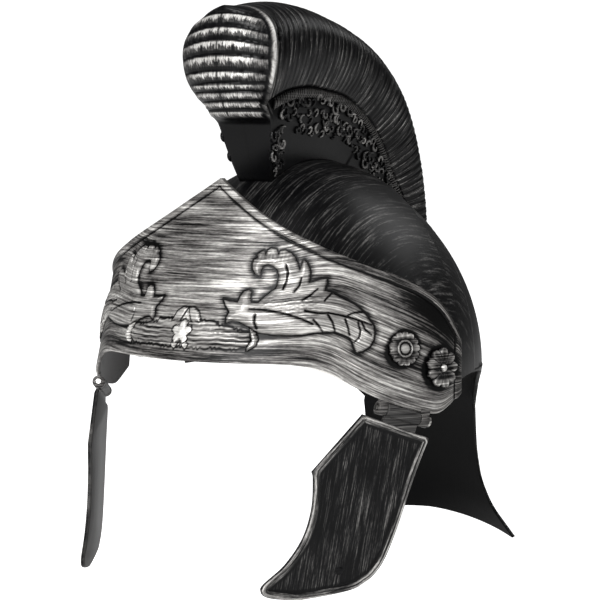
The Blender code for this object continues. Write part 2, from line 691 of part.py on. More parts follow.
def build_brow_plate(holes):
    """Brow plate with its raised rim, cast reliefs and hinge knuckles."""
    half = [row[0] for row in BROW_EDGES]
    end = half[-1]
    rim_angle = math.degrees(RIM_WIDTH / BROW_FRONT)
    half = half[:-1] + [end - rim_angle * RIM_TURN, end - rim_angle, end]
    half = sorted({round(value, 4) for value in half})
    angles = [-value for value in half[:0:-1]] + half

    def column(angle, raised):
        low, top = brow_low(angle), brow_top(angle)
        body = top - RIM_WIDTH - RIM_ROOT - low
        heights = [low + body * share for share in (0.0, 0.25, 0.5, 0.75, 1.0)]
        heights += [top - RIM_WIDTH, top]
        points = []
        for number, height in enumerate(heights):
            offset = -WALL
            if raised:
                on_rim = number >= 5 or abs(angle) > end - rim_angle * (1 + RIM_TURN) / 2
                offset = RIM_RISE if on_rim else 0.0
            points.append(brow_point(angle, height, offset))
        return points

    outer = [column(angle, True) for angle in angles]
    inner = [column(angle, False) for angle in angles]
    plate = wall_mesh("brow_plate", outer, inner)
    reliefs = []
    for side in (1.0, -1.0):
        for table in (SCROLL_SECTIONS, HORN_SECTIONS, SPIKE_SECTIONS, BODY_SECTIONS):
            reliefs.append(relief_mesh(scroll_rows(table), side))
        reliefs += hinge_lugs(side)
    reliefs += [relief_mesh(rows) for rows in bundle_rows()]
    middle = BUNDLE_BASE + BUNDLE_HEIGHT / 2
    reliefs.append(flower_mesh(0.0, middle, FLOWER_RADIUS, FLOWER_PETALS, RELIEF_RISE * 1.2, RELIEF_ROOT))
    plate = combined(plate, reliefs, "UNION")
    plate = combined(plate, holes + [hinge_bore(1.0), hinge_bore(-1.0)], "DIFFERENCE")
    return add_object("brow_plate", plate, BRUSHED_SILVER)


def build_rosettes():
    """Rosette studs, two on each side, which pin the plate to the cap."""
    for side, side_name in ((1.0, "left"), (-1.0, "right")):
        for place, rosette in (("front", FRONT_ROSETTE), ("rear", REAR_ROSETTE)):
            degrees = rosette["angle"] * side
            head = flower_mesh(degrees, rosette["height"], rosette["radius"], ROSETTE_PETALS,
                               ROSETTE_THICK, -rosette_seat(rosette))
            stud = stud_line(rosette, side, -rosette_seat(rosette) - 0.0005, STUD_LENGTH, STUD_RADIUS)
            mesh = combined(head, [stud], "UNION")
            add_object(f"rosette_{side_name}_{place}", mesh, BRUSHED_SILVER)


def rosette_seat(rosette):
    """Height of a rosette's flat back over the plate's curved face, so that it just clears it."""
    normal = brow_normal(rosette["angle"], rosette["height"])
    place = brow_point(rosette["angle"], rosette["height"])
    highest = 0.0
    for turn_x in (-8.0, -4.0, 0.0, 4.0, 8.0):
        for turn_z in (-0.011, 0.0, 0.011):
            other = brow_point(rosette["angle"] + turn_x, rosette["height"] + turn_z)
            highest = max(highest, (other - place).dot(normal))
    return highest + GAP


def guard_frame(side):
    """Middle of a guard's hinge, its forward direction and its outward direction."""
    front, rear = hinge_ends(side)
    middle = (front + rear) / 2
    forward = Vector((front.x - rear.x, front.y - rear.y, 0.0)).normalized()
    outward = Vector((0.0, 0.0, 1.0)).cross(forward) * -side
    return middle, forward, outward * -1.0 if outward.x * side < 0 else outward


def build_cheek_guard(side, side_name):
    """Cheek guard hanging from its barrel, with a raised border round a sunk panel."""
    middle, forward, outward = guard_frame(side)
    front, rear = hinge_ends(side)
    axis = (rear - front).normalized()
    work = bmesh.new()
    corners = [middle + forward * GUARD_WIDTH * along - Vector((0.0, 0.0, GUARD_LENGTH * down))
               for along, down in GUARD_OUTLINE]
    inside = [work.verts.new(corner - outward * GUARD_THICK / 2) for corner in corners]
    outside = [work.verts.new(corner + outward * GUARD_THICK / 2) for corner in corners]
    work.faces.new(inside)
    face = work.faces.new(outside)
    count = len(corners)
    for step in range(count):
        ahead = (step + 1) % count
        work.faces.new([inside[step], inside[ahead], outside[ahead], outside[step]])
    bmesh.ops.recalc_face_normals(work, faces=work.faces)
    bmesh.ops.inset_region(work, faces=[face], thickness=GUARD_BORDER, depth=0.0)
    bmesh.ops.inset_region(work, faces=[face], thickness=GUARD_STEP, depth=-GUARD_RECESS)
    bmesh.ops.triangulate(work, faces=[item for item in work.faces if len(item.verts) > 4])
    panel = bpy.data.meshes.new("panel")
    work.to_mesh(panel)
    work.free()

    start = front + axis * (KNUCKLE_LENGTH + GAP)
    end = rear - axis * (KNUCKLE_LENGTH + GAP)
    barrel = knuckle(start, end, Vector((0.0, 0.0, -1.0)), GUARD_WEB)
    guard = combined(panel, [barrel], "UNION")
    guard = combined(guard, [hinge_bore(side)], "DIFFERENCE")
    name = f"cheek_guard_{side_name}"
    guard.transform(Matrix.Translation(-middle))
    piece = add_object(name, guard, SILVER_BLACK)
    piece.location = middle


def build_hinge_pin(side, side_name):
    """Hinge pin, with a small head at its rear end."""
    front, rear = hinge_ends(side)
    axis = (rear - front).normalized()
    shaft = rod(front - axis * PIN_STAND, rear + axis * (GAP + PIN_HEAD_LENGTH / 3), PIN_RADIUS)
    head = rod(rear + axis * GAP, rear + axis * (GAP + PIN_HEAD_LENGTH), PIN_HEAD_RADIUS)
    add_object(f"hinge_pin_{side_name}", combined(head, [shaft], "UNION"), BRUSHED_SILVER)


def skull_radius(across, degrees, offset):
    """Distance from the crest's centre to the skull, along a ray that leans back from upright."""
    sine, cosine = math.sin(math.radians(degrees)), math.cos(math.radians(degrees))
    low, high = 0.010, 0.140
    for _ in range(40):
        radius = (low + high) / 2
        y = CREST_CENTRE[0] + radius * sine
        z = CREST_CENTRE[1] + radius * cosine
        depth = (SKULL_FRONT if y < 0 else SKULL_REAR) + offset
        spread = (abs(across / (SKULL_HALF_WIDTH + offset)) ** SKULL_SQUARE
                  + abs(y / depth) ** SKULL_SQUARE) ** (1 / SKULL_SQUARE)
        lift = max(z - WIDEST, 0.0) / (SKULL_RISE + offset)
        if spread ** SKULL_FULLNESS + lift ** SKULL_FULLNESS > 1.0:
            high = radius
        else:
            low = radius
    return high


def seat_radius(across, degrees):
    """Radius of the crest's foot: just over the cap, or over the rear shell behind the seam."""
    radius = skull_radius(across, degrees, CAP_OUTSIDE)
    if behind_cap(radius, degrees) < STEP_CLEAR:
        return radius + CREST_SEAT
    return skull_radius(across, degrees, 0.0) + CREST_SEAT


def behind_cap(radius, degrees):
    """How far a point of the crest's middle plane lies behind the cap's rear edge."""
    y = CREST_CENTRE[0] + radius * math.sin(math.radians(degrees))
    z = CREST_CENTRE[1] + radius * math.cos(math.radians(degrees))
    return y - seam_y(z)


def step_shares():
    """Shares of the crest's length just before and just after its foot steps off the cap."""
    low, high = 0.3, 0.9
    for _ in range(40):
        middle = (low + high) / 2
        degrees = crest_angle(middle, CREST_RADIUS * 0.5)
        if behind_cap(skull_radius(0.0, degrees, CAP_OUTSIDE), degrees) < STEP_CLEAR:
            low = middle
        else:
            high = middle
    return [low - STEP_SHARE, high + STEP_SHARE]


def crest_angle(share, radius):
    """Degrees behind upright for a share of the crest's length, bent to its face's border."""
    plain = -CREST_FRONT_ANGLE + (CREST_FRONT_ANGLE + CREST_TAIL_ANGLE) * share
    border = -CREST_FRONT_ANGLE * between(CREST_BORDER, 1, radius / CREST_RADIUS)
    bend = max(1.0 - share / FACE_SHARE, 0.0)
    return plain + (border + CREST_FRONT_ANGLE) * bend


def crest_rows(share):
    """Radii and half widths down one section of the crest, from its rim to its foot."""
    rim = CREST_RADIUS * between(CREST_LENGTH, 1, share)
    half = CREST_HALF_WIDTH * between(CREST_LENGTH, 2, share)
    foot = seat_radius(0.0, crest_angle(share, CREST_RADIUS * 0.5))
    rope = CREST_ROPE_RADIUS * (1.0 + ROPE_SWELL * max(1.0 - share / ROPE_SWELL_SHARE, 0.0))
    rope = min(max(rope, foot + (rim - foot) * ROPE_SHARES[0]), foot + (rim - foot) * ROPE_SHARES[1])
    bead = min(CREST_ROPE_WIDTH / 2, (rim - foot) * BEAD_SHARE)
    rows = [(rope + bead + (rim - rope - bead) * lift, half * width) for lift, width in CREST_HAIR[::-1]]
    rows += [(rope + bead, half * 0.60), (rope + bead * 0.4, half * 0.72), (rope - bead * 0.4, half * 0.72),
             (rope - bead, half * 0.58)]
    rows += [(foot + (rope - bead - foot) * lift, half * width) for lift, width in CREST_PANEL[::-1]]
    return rows


def crest_grid(inset):
    """Grid of points over one half of the crest, from its nose to its tail."""
    shares = sorted([row[0] for row in CREST_LENGTH] + step_shares())
    nose = [(1.0, 0.0), (0.93, 0.36), (0.70, 0.72), (0.38, 0.93), (0.0, 1.0)]
    sections = [(shares[0], width, swell) for swell, width in nose[:-1]] + [(share, 1.0, 0.0) for share in shares]
    grid = []
    for share, narrow, swell in sections:
        column = []
        rows = crest_rows(share)
        for number, (radius, half) in enumerate(rows):
            ahead = CREST_NOSE * swell * min(max((radius / CREST_RADIUS - 0.66) / 0.10, 0.06), 1.0)
            degrees = crest_angle(share, radius)
            across = half * narrow
            deep = radius - inset if number == 0 else radius
            if number == len(rows) - 1:
                deep = seat_radius(across, degrees) + inset
            across = max(across - inset, 0.0)
            back = inset if ahead > 0 else 0.0
            column.append(crest_point(across, degrees, deep, ahead - back))
        degrees = crest_angle(share, rows[-1][0])
        column.append(crest_point(0.0, degrees, seat_radius(0.0, degrees) + inset, 0.0 - (inset if swell else 0.0)))
        grid.append(column)
    return grid


def crest_point(across, degrees, radius, ahead):
    """Point of the crest on the wearer's left, clear of the middle plane."""
    angle = math.radians(degrees)
    y = CREST_CENTRE[0] + radius * math.sin(angle) - ahead
    z = CREST_CENTRE[1] + radius * math.cos(angle)
    return Vector((across + GAP / 2, y, z))


def build_crest():
    """Crest in two hollow halves, left and mirrored right."""
    left = wall_mesh("crest_left", crest_grid(0.0), crest_grid(WALL))
    add_object("crest_right", mirrored(left, "crest_right"), SILVER_BLACK)
    add_object("crest_left", left, SILVER_BLACK)


def build_helmet():
    """Clears the scene and builds every piece."""
    for item in list(bpy.data.objects):
        bpy.data.objects.remove(item, do_unlink=True)
    build_skull_front(stud_holes())
    build_skull_rear()
    build_brow_plate(stud_holes())
    build_rosettes()
    build_crest()
    for side, side_name in ((1.0, "left"), (-1.0, "right")):
        build_cheek_guard(side, side_name)
        build_hinge_pin(side, side_name)


build_helmet()
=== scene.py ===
"""Looks of a moulded plastic legionary helmet, seen from its wearer's left front.

Metres, +Z up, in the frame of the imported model. The helmet faces -Y and the wearer's left is +X.
"""
import math

import bmesh
import bpy
import numpy as np
from mathutils import Matrix, Vector


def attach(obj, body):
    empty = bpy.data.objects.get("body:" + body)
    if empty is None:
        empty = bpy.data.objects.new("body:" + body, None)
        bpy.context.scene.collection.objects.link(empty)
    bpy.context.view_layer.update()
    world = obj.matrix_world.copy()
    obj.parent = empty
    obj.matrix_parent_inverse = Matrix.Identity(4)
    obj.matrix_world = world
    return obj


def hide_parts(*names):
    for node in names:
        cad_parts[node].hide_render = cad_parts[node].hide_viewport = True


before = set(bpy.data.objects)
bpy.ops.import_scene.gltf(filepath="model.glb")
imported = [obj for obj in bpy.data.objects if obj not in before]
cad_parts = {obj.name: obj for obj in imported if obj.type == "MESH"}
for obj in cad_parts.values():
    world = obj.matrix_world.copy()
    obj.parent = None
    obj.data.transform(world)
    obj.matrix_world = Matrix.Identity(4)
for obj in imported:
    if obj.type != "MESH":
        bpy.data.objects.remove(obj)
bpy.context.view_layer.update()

# Front cap of the bowl. The real one is a thin moulding of black polystyrene, rubbed fore and aft
# with silver paint. Its rear edge laps over the rear shell as a step, which the paint picks out.
WALL = 0.0022
WIDEST = -0.1158              # level where the bowl is widest
SKULL_HALF, SKULL_FRONT, SKULL_REAR, SKULL_RISE = 0.0915, 0.1110, 0.1310, 0.1180
SKULL_FULLNESS, SKULL_SQUARE = 1.9, 2.15
SEAM_BACK, SEAM_LEAN = 0.0174, 0.13
CAP_INSIDE, CAP_OUTSIDE = 0.0010, 0.0032
CAP_FRONT_EDGE, CAP_SIDE_EDGE, CAP_EDGE_TURN = 0.0190, 0.0040, (48.0, 74.0)
CAP_COLUMNS, CAP_SEAM_COLUMNS, CAP_CROWN_COLUMNS, CAP_ROWS = 110, 60, 14, 76
CAP_ROUNDING, CAP_ROUNDING_RUN = 0.28, 0.0010     # share of the wall, and over what run
EDGE_PAINT = 0.0012           # width of the silver that catches on an edge
BARE, CAP_SILVER, CAP_EDGE_SILVER = 0.02, 0.13, 0.75


def smooth(share):
    """Share from 0 to 1 with soft ends."""
    share = np.clip(share, 0.0, 1.0)
    return share * share * (3 - 2 * share)


def plan(turn, half, depth, power):
    """Plan outline at an angle from straight ahead, positive to the wearer's left."""
    sine, cosine = np.sin(turn), np.cos(turn)
    return (half * np.sign(sine) * np.abs(sine) ** (2 / power),
            -depth * np.sign(cosine) * np.abs(cosine) ** (2 / power))


def skull(degrees, reach, offset=0.0):
    """Points of the bowl: reach 0 is its crown and 1 its widest level."""
    turn, drop = np.radians(degrees), reach * np.pi / 2
    spread = np.sin(drop).clip(0) ** (2 / SKULL_FULLNESS)
    lift = np.cos(drop).clip(0) ** (2 / SKULL_FULLNESS)
    depth = np.where(np.cos(turn) > 0, SKULL_FRONT, SKULL_REAR) + offset
    x, y = plan(turn, SKULL_HALF + offset, depth, SKULL_SQUARE)
    return np.stack([x * spread, y * spread, WIDEST + (SKULL_RISE + offset) * lift], axis=-1)


def seam_y(z, lap=0.0):
    """Where the cap's rear edge lies at a height."""
    return SEAM_BACK + SEAM_LEAN * (z - WIDEST) - lap


def seam_reach(degrees, offset, lap=0.0):
    """Reach at which columns of the bowl cross the seam, or 1 where they never do."""
    low, high = np.zeros_like(degrees), np.ones_like(degrees)
    for _ in range(40):
        middle = (low + high) / 2
        place = skull(degrees, middle, offset)
        behind = place[..., 1] > seam_y(place[..., 2], lap)
        low, high = np.where(behind, low, middle), np.where(behind, middle, high)
    return high


def seam_column(lift, lap=0.0):
    """Angle of the column that crosses the seam at a share of the bowl's rise."""
    spread = (1 - lift ** SKULL_FULLNESS) ** (1 / SKULL_FULLNESS)
    back = seam_y(WIDEST + SKULL_RISE * lift, lap) / (SKULL_REAR * spread)
    return 90 + np.degrees(np.arcsin(np.clip(back, 0, 1) ** (SKULL_SQUARE / 2)))


def cap_reach(degrees, offset):
    """How far the cap runs down its columns."""
    start, end = CAP_EDGE_TURN
    side = smooth((np.abs(degrees) - start) / (end - start))
    rise = CAP_FRONT_EDGE + (CAP_SIDE_EDGE - CAP_FRONT_EDGE) * side
    lower = np.arccos((rise / (SKULL_RISE + offset)) ** (SKULL_FULLNESS / 2)) / (np.pi / 2)
    rear = np.abs(degrees) > seam_column(0.0) + 0.01
    return np.where(rear, seam_reach(np.abs(degrees), offset), lower)


def dressed(points, along, across, stroke, silver):
    """Grid of points with what the paint needs: millimetres along and across the brush, how far
    the brush marks show, and how much silver lies there."""
    shape = points.shape[:-1]
    extra = [np.broadcast_to(value, shape) for value in (along, across, stroke, silver)]
    return np.concatenate([points, np.stack(extra, axis=-1)], axis=-1)


def quads(columns, rows, ring=False):
    """Faces of a grid whose points run down each column in turn."""
    column, row = np.meshgrid(np.arange(columns if ring else columns - 1), np.arange(rows - 1),
                              indexing="ij")
    ahead = (column + 1) % columns
    corners = [column * rows + row, column * rows + row + 1, ahead * rows + row + 1, ahead * rows + row]
    return np.stack(corners, axis=-1).reshape(-1, 4)


def walled(outer, inner, ring=False, keep=None):
    """Closed wall between two dressed grids, over the cells that are kept."""
    columns, rows = outer.shape[:2]
    faces = quads(columns, rows, ring)
    if keep is not None:
        faces = faces[keep.ravel()]
    edges = np.concatenate([faces[:, [step, (step + 1) % 4]] for step in range(4)])
    _, first, count = np.unique(np.sort(edges, axis=1), axis=0, return_index=True, return_counts=True)
    border = edges[first[count == 1]]
    data = np.concatenate([outer.reshape(-1, 7), inner.reshape(-1, 7)])
    long = np.linalg.norm(data[border[:, 0], :3] - data[border[:, 1], :3], axis=1) > 1e-7
    border, size = border[long], columns * rows
    sides = np.stack([border[:, 1], border[:, 0], border[:, 0] + size, border[:, 1] + size], axis=-1)
    faces = np.concatenate([faces, faces[:, ::-1] + size, sides])
    used, faces = np.unique(faces, return_inverse=True)
    return data[used], faces.reshape(-1, 4).tolist()


def joined(*bodies):
    """Several bodies of dressed points and faces as one."""
    data, faces, first = [], [], 0
    for points, body_faces in bodies:
        data.append(points)
        faces += [[index + first for index in face] for face in body_faces]
        first += len(points)
    return np.concatenate(data), faces


def make_mesh(name, body, material, sharp=40.0):
    """Mesh of a closed body, faces outward, with its paint as attributes."""
    data, faces = body
    mesh = bpy.data.meshes.new(name)
    mesh.from_pydata(data[:, :3].tolist(), [], faces)
    brush = mesh.attributes.new("brush", "FLOAT_VECTOR", "POINT")
    brush.data.foreach_set("vector", data[:, 3:6].ravel())
    mesh.attributes.new("silver", "FLOAT", "POINT").data.foreach_set("value", data[:, 6].ravel())
    work = bmesh.new()
    work.from_mesh(mesh)
    bmesh.ops.remove_doubles(work, verts=work.verts, dist=0.000002)
    bmesh.ops.recalc_face_normals(work, faces=work.faces)
    work.to_mesh(mesh)
    work.free()
    mesh.materials.append(material)
    mesh.shade_smooth()
    mesh.set_sharp_from_angle(angle=math.radians(sharp))
    return mesh


def fit(name, mesh, body, slot, *nodes):
    """Puts a finished piece on its body in place of the plain CAD nodes."""
    piece = bpy.data.objects.new(name, mesh)
    bpy.context.scene.collection.objects.link(piece)
    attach(piece, body)
    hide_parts(*nodes)
    return piece


def linear(code):
    """Linear colour of an sRGB hex value."""
    values = [int(code[place:place + 2], 16) / 255 for place in (1, 3, 5)]
    return (*[value / 12.92 if value <= 0.04045 else ((value + 0.055) / 1.055) ** 2.4
              for value in values], 1.0)


def node(tree, kind, links=None, stops=None, **settings):
    """Adds a node: its settings, its inputs as values or other nodes' outputs, a ramp's stops."""
    made = tree.nodes.new(kind)
    for name, value in settings.items():
        setattr(made, name, value)
    for name, value in (links or {}).items():
        if isinstance(value, bpy.types.NodeSocket):
            tree.links.new(value, made.inputs[name])
        else:
            made.inputs[name].default_value = value
    if stops:
        first, *others = stops
        made.color_ramp.elements.remove(made.color_ramp.elements[1])
        made.color_ramp.elements[0].position, made.color_ramp.elements[0].color = first[0], linear(first[1])
        for place, code in others:
            made.color_ramp.elements.new(place).color = linear(code)
    return made.outputs


def rubbed_plastic(name, stops, streak, patch, swing, roughness, metallic):
    """Black plastic with rubbed-on silver. Streak and patch are the length and width in
    millimetres of one brush hair's mark and of one stroke, and swing how far each shows."""
    material = bpy.data.materials.new(name)
    material.use_nodes = True
    tree = material.node_tree
    shader = tree.nodes["Principled BSDF"]
    brush = node(tree, "ShaderNodeAttribute", attribute_name="brush")["Vector"]
    silver = node(tree, "ShaderNodeAttribute", attribute_name="silver")["Fac"]
    stroke = node(tree, "ShaderNodeSeparateXYZ", {0: brush})["Z"]
    total = silver
    marks = []
    for (length, width), share, low, high in ((streak, swing[0], 0.36, 0.64), (patch, swing[1], 0.3, 0.7),
                                              ((streak[0] / 9, streak[1] * 0.7), swing[2], 0.3, 0.7)):
        spread = node(tree, "ShaderNodeVectorMath", {0: brush, 1: (1 / length, 1 / width, 0)},
                      operation="MULTIPLY")[0]
        noise = node(tree, "ShaderNodeTexNoise", {"Vector": spread, "Scale": 1.0, "Detail": 3.0,
                                                  "Roughness": 0.6})["Fac"]
        mark = node(tree, "ShaderNodeMapRange", {"Value": noise, "From Min": low, "From Max": high,
                                                 "To Min": -share, "To Max": share})[0]
        marks.append(mark)
        shown = node(tree, "ShaderNodeMath", {0: mark, 1: stroke, 2: total}, operation="MULTIPLY_ADD")[0]
        total = shown
    colour = node(tree, "ShaderNodeValToRGB", {"Fac": total}, stops)["Color"]
    tree.links.new(colour, shader.inputs["Base Color"])
    for key, (bare, painted) in (("Roughness", roughness), ("Metallic", metallic)):
        value = node(tree, "ShaderNodeMapRange", {"Value": total, "From Min": 0.3, "From Max": 0.8,
                                                  "To Min": bare, "To Max": painted})[0]
        tree.links.new(value, shader.inputs[key])
    shader.inputs["Specular IOR Level"].default_value = 0.16
    height = node(tree, "ShaderNodeMath", {0: marks[0], 1: marks[2]}, operation="ADD")[0]
    bump = node(tree, "ShaderNodeBump", {"Strength": 0.35, "Distance": 0.0001, "Height": height})["Normal"]
    tree.links.new(bump, shader.inputs["Normal"])
    return material


# Black polystyrene, moulded glossy and rubbed with silver: nearly black with long hair-thin grey
# lines that break off, and bright only where an edge caught the brush.
BOWL_STOPS = ((0.0, "#060607"), (0.22, "#131314"), (0.45, "#4c4b4a"), (0.65, "#8a8886"), (0.95, "#e4e2de"))
bowl_plastic = rubbed_plastic("rubbed_black_polystyrene", BOWL_STOPS, (26.0, 0.8), (60.0, 9.0),
                              (0.28, 0.18, 0.10), (0.34, 0.46), (0.0, 0.35))


def bowl_brush(points):
    """Fore-and-aft brush marks over the bowl: millimetres along and across."""
    along = np.arctan2(points[..., 1], points[..., 2] - WIDEST + 0.02) * 110
    return along, points[..., 0] * 1000


edge_column = float(seam_column(0.0))
front = np.linspace(0, edge_column, CAP_COLUMNS)
rear = seam_column(np.linspace(0.02, 0.955, CAP_SEAM_COLUMNS))
half = np.concatenate([front, rear, np.linspace(rear[-1], 180, CAP_CROWN_COLUMNS)[1:]])
degrees = np.concatenate([half, -half[-2:0:-1]])[:, None]
shares = np.linspace(0, 1, CAP_ROWS)[None, :] ** 0.92
cap_outer = skull(degrees, cap_reach(degrees, CAP_OUTSIDE) * shares, CAP_OUTSIDE)
cap_inner = skull(degrees, cap_reach(degrees, CAP_INSIDE) * shares, CAP_INSIDE)
to_edge = (1 - shares) * cap_reach(degrees, CAP_OUTSIDE) * SKULL_REAR * 1.3
at_rear = smooth((np.abs(degrees) - edge_column + 4) / 4)
rounding = smooth(1 - to_edge / CAP_ROUNDING_RUN)
cap_outer = cap_outer + (cap_inner - cap_outer) * CAP_ROUNDING * rounding[..., None]
cap_silver = CAP_SILVER + at_rear * CAP_EDGE_SILVER * smooth(1 - to_edge / EDGE_PAINT)
along, across = bowl_brush(cap_outer)
cap = walled(dressed(cap_outer, along, across, 1.0, cap_silver),
             dressed(cap_inner, along, across, 0.0, BARE), ring=True)
fit("bowl_cap", make_mesh("bowl_cap", cap, bowl_plastic), "helmet", "streaked_plastic", "skull_front")

# Rear shell of the bowl with its ear arches and the flared neck guard, one moulding of the same
# plastic, glued under the cap. Its bowl is rubbed as the cap is, its neck guard left satin black.
LAP = 0.010
RIDGE_BACK, RIDGE_LEAN, RIDGE_STEP = 0.050, 0.09, 0.0006
RIDGE_RUN = 0.0008            # over which that step comes down
SHELL_SILVER, SHELL_LOSS, RIDGE_SILVER, SHELL_EDGE_SILVER = 0.08, 0.02, 0.5, 0.42
NECK_DROP, NECK_HALF, NECK_CORNER_DROP = 0.1055, 0.0740, 0.00745
EAR_ARCH = np.array([
    (97.0, 0.000, 0.000, 0.038), (104.0, 0.000, 0.000, 0.012), (110.0, 0.000, 0.000, 0.012),
    (118.0, 0.000, 0.005, 0.024), (126.0, 0.012, 0.000, 0.052), (134.0, 0.015, 0.012, 0.076),
    (141.0, 0.027, 0.045, 0.133), (146.0, 0.058, 0.107, 0.218), (149.0, 0.092, 0.164, 0.332)])
NECK_TAIL = np.array([
    (0.00, 0.554, 1.069, 1.031), (0.18, 0.547, 1.073, 1.046), (0.37, 0.554, 1.080, 1.053),
    (0.59, 0.608, 1.095, 1.042), (0.79, 0.743, 1.118, 1.011), (0.91, 0.892, 1.141, 0.985),
    (1.00, 1.000, 1.164, 0.966)])
BOWL_ROWS, ARCH_ROWS, TAIL_ROWS = 44, 20, 34


def soft(value, table, column, window):
    """Reads a column of a table at values of its first column, rounded over a window."""
    shifts = np.linspace(-window, window, 9)
    low, high = table[0, 0], table[-1, 0]
    room = np.minimum(np.minimum(value - low, high - value).clip(0) / window, 1.0)
    reads = [np.interp(value + shift * room, table[:, 0], table[:, column]) for shift in shifts]
    return np.mean(reads, axis=0)


lifts = np.linspace(0.0, 0.97, 46)
half = np.concatenate([seam_column(lifts, LAP), np.linspace(93.2, 149, 74), np.linspace(149, 180, 64)])
half = np.unique(np.round(half, 3))[:, None]
start = seam_reach(half, 0.0, LAP)
top = skull(half, np.ones_like(half))
tail_half = float(skull(np.array([149.0]), np.array([1.0]))[0, 0])
across_tail = np.clip(top[..., 0] / tail_half, 0, 1)


def tail(across, down):
    """Points of the neck guard: across 0 is its middle and 1 its edge, down 1 is its rim."""
    width, middle, edge = (soft(down, NECK_TAIL, column, 0.07) for column in (1, 2, 3))
    waist = WIDEST - NECK_DROP * EAR_ARCH[-1, 3]
    rim = WIDEST - NECK_DROP - NECK_CORNER_DROP * across ** 1.5
    depth = SKULL_REAR * (middle + (edge - middle) * across ** 2)
    return np.stack([NECK_HALF * width * across, depth, waist + (rim - waist) * down], axis=-1)


inwards, backwards, drop = (soft(half, EAR_ARCH, column, 3.0) for column in (1, 2, 3))
arch = top + np.stack([-SKULL_HALF * inwards, SKULL_REAR * backwards, -NECK_DROP * drop], axis=-1)
waist = np.where((half <= 149.0)[..., None], arch, tail(across_tail, np.zeros_like(across_tail)))
bowl_shares = np.linspace(0, 1, BOWL_ROWS)[None, :]
bowl_part = skull(half, start + (1 - start) * bowl_shares)
shares = np.linspace(0, 1, ARCH_ROWS)[None, 1:, None]
arch_part = top + (waist - top) * smooth(shares)
arch_part[..., 2] = (top + (waist - top) * shares)[..., 2]
down = np.linspace(0, 1, TAIL_ROWS)[None, 1:]
tail_part = tail(*np.broadcast_arrays(across_tail, down))
left = np.concatenate([bowl_part, arch_part, tail_part], axis=1)
columns, rows = left.shape[:2]
row_number = np.arange(rows)[None, :]
in_tail = half >= 148.999
below_arch = row_number >= BOWL_ROWS + ARCH_ROWS - 2

ridge = left[..., 1] - RIDGE_BACK - RIDGE_LEAN * (left[..., 2] - WIDEST)
bowl_zone = smooth((BOWL_ROWS + 4 - row_number) / 6)
step = smooth(ridge / RIDGE_RUN + 0.5) * bowl_zone
edge_gap = np.where(in_tail, 1.0, (BOWL_ROWS + ARCH_ROWS - 2 - row_number) * 0.0009)
side_gap = np.where(in_tail & below_arch, (1 - across_tail) * NECK_HALF, 1.0)
rim_gap = np.where(in_tail, (rows - 1 - row_number) * 0.0022, 1.0)
edge = smooth(1 - np.minimum(np.minimum(edge_gap, side_gap), rim_gap) / EDGE_PAINT / 1.6)
on_ridge = RIDGE_SILVER * np.exp(-(ridge / 0.0006) ** 2)
shell_silver = 0.03 + bowl_zone * (SHELL_SILVER - SHELL_LOSS * smooth(ridge / 0.002) + on_ridge)
shell_silver = shell_silver + SHELL_EDGE_SILVER * edge
stroke = np.clip(bowl_zone * (1 - 0.55 * smooth(ridge / 0.004)) + edge, 0, 1)


def grid_normals(points):
    """Unit normals of a grid, away from its middle."""
    normal = np.cross(np.gradient(points, axis=0), np.gradient(points, axis=1))
    normal /= np.linalg.norm(normal, axis=-1, keepdims=True).clip(1e-12)
    return normal * np.sign(np.sum(normal * (points - points.mean(axis=(0, 1)))))


def mirrored(points):
    """The same points on the wearer's right."""
    return points * np.array([-1.0, 1.0, 1.0])


points = np.concatenate([left, mirrored(left[-2::-1])])
stroke, shell_silver, step = (np.concatenate([value, value[-2::-1]])
                              for value in (stroke, shell_silver, step))
normals = grid_normals(points)
outer = points - normals * (step * RIDGE_STEP)[..., None]
inner = points - normals * WALL
cells = np.arange(2 * columns - 2)
cells_column = np.minimum(cells, len(cells) - 1 - cells)[:, None]
first_tail = int(np.argmax(in_tail))
keep = (np.arange(rows - 1)[None, :] < BOWL_ROWS + ARCH_ROWS - 2) | (cells_column >= first_tail)
along, across = bowl_brush(outer)
shell = walled(dressed(outer, along, across, stroke, shell_silver),
               dressed(inner, along, across, 0.0, BARE), keep=keep)
fit("bowl_shell_and_neck_guard", make_mesh("bowl_shell_and_neck_guard", shell, bowl_plastic), "helmet",
    "streaked_plastic", "skull_rear")

# Brow plate: one tall plate moulded in black polystyrene with its rim, scrolls, bound bundle and
# flower raised on it, then brushed along with antique silver and left dark in its recesses.
BROW_LEVEL = -0.0998
BROW_PEAK, BROW_DIP = 95.0, 29.0                     # millimetres, from its front lower edge
BROW_HALF, BROW_LEAN, BROW_SIDE_LEAN, BROW_SQUARE = 0.1155, 0.436, 0.039, 1.95
BROW_CLEAR = 0.0005
RIM_WIDTH, RIM_RISE = 3.2, 1.2
BROW_END = 80.5
LOW_EDGE_ROUND = 0.0007
PLATE_SILVER, RIM_SILVER, RIM_FADE, RIM_FADE_FROM, RIM_FADE_RUN = 0.58, 0.54, 0.24, 40, 60
# the stud values are a painted shadow round the rosette studs: how much silver it takes, and its width in
# millimetres
GROOVE_LOSS, INK_LOSS, STUD_SHADOW_DEPTH, STUD_SHADOW, LOW_EDGE_SILVER = 0.62, 0.75, 0.6, 1.3, 0.2
PLATE_BACK_SILVER = 0.30
BROW_EDGES = np.array([
    (0.0, 0.00, 1.000), (5.7, 0.00, 0.925), (10.5, 0.00, 0.866), (15.3, 0.00, 0.808),
    (20.5, 0.00, 0.753), (25.8, 0.00, 0.702), (31.5, 0.01, 0.654), (36.8, 0.06, 0.609),
    (42.5, 0.20, 0.568), (48.2, 0.40, 0.529), (54.4, 0.61, 0.488), (58.7, 0.73, 0.454),
    (63.0, 0.84, 0.421), (66.9, 0.93, 0.382), (70.7, 0.99, 0.335), (73.5, 1.00, 0.285),
    (76.2, 0.90, 0.225), (78.6, 0.79, 0.155), (80.5, 0.70, 0.090)])
BROW_COLUMNS, BROW_ROWS, BACK_STEP = 636, 139, 6
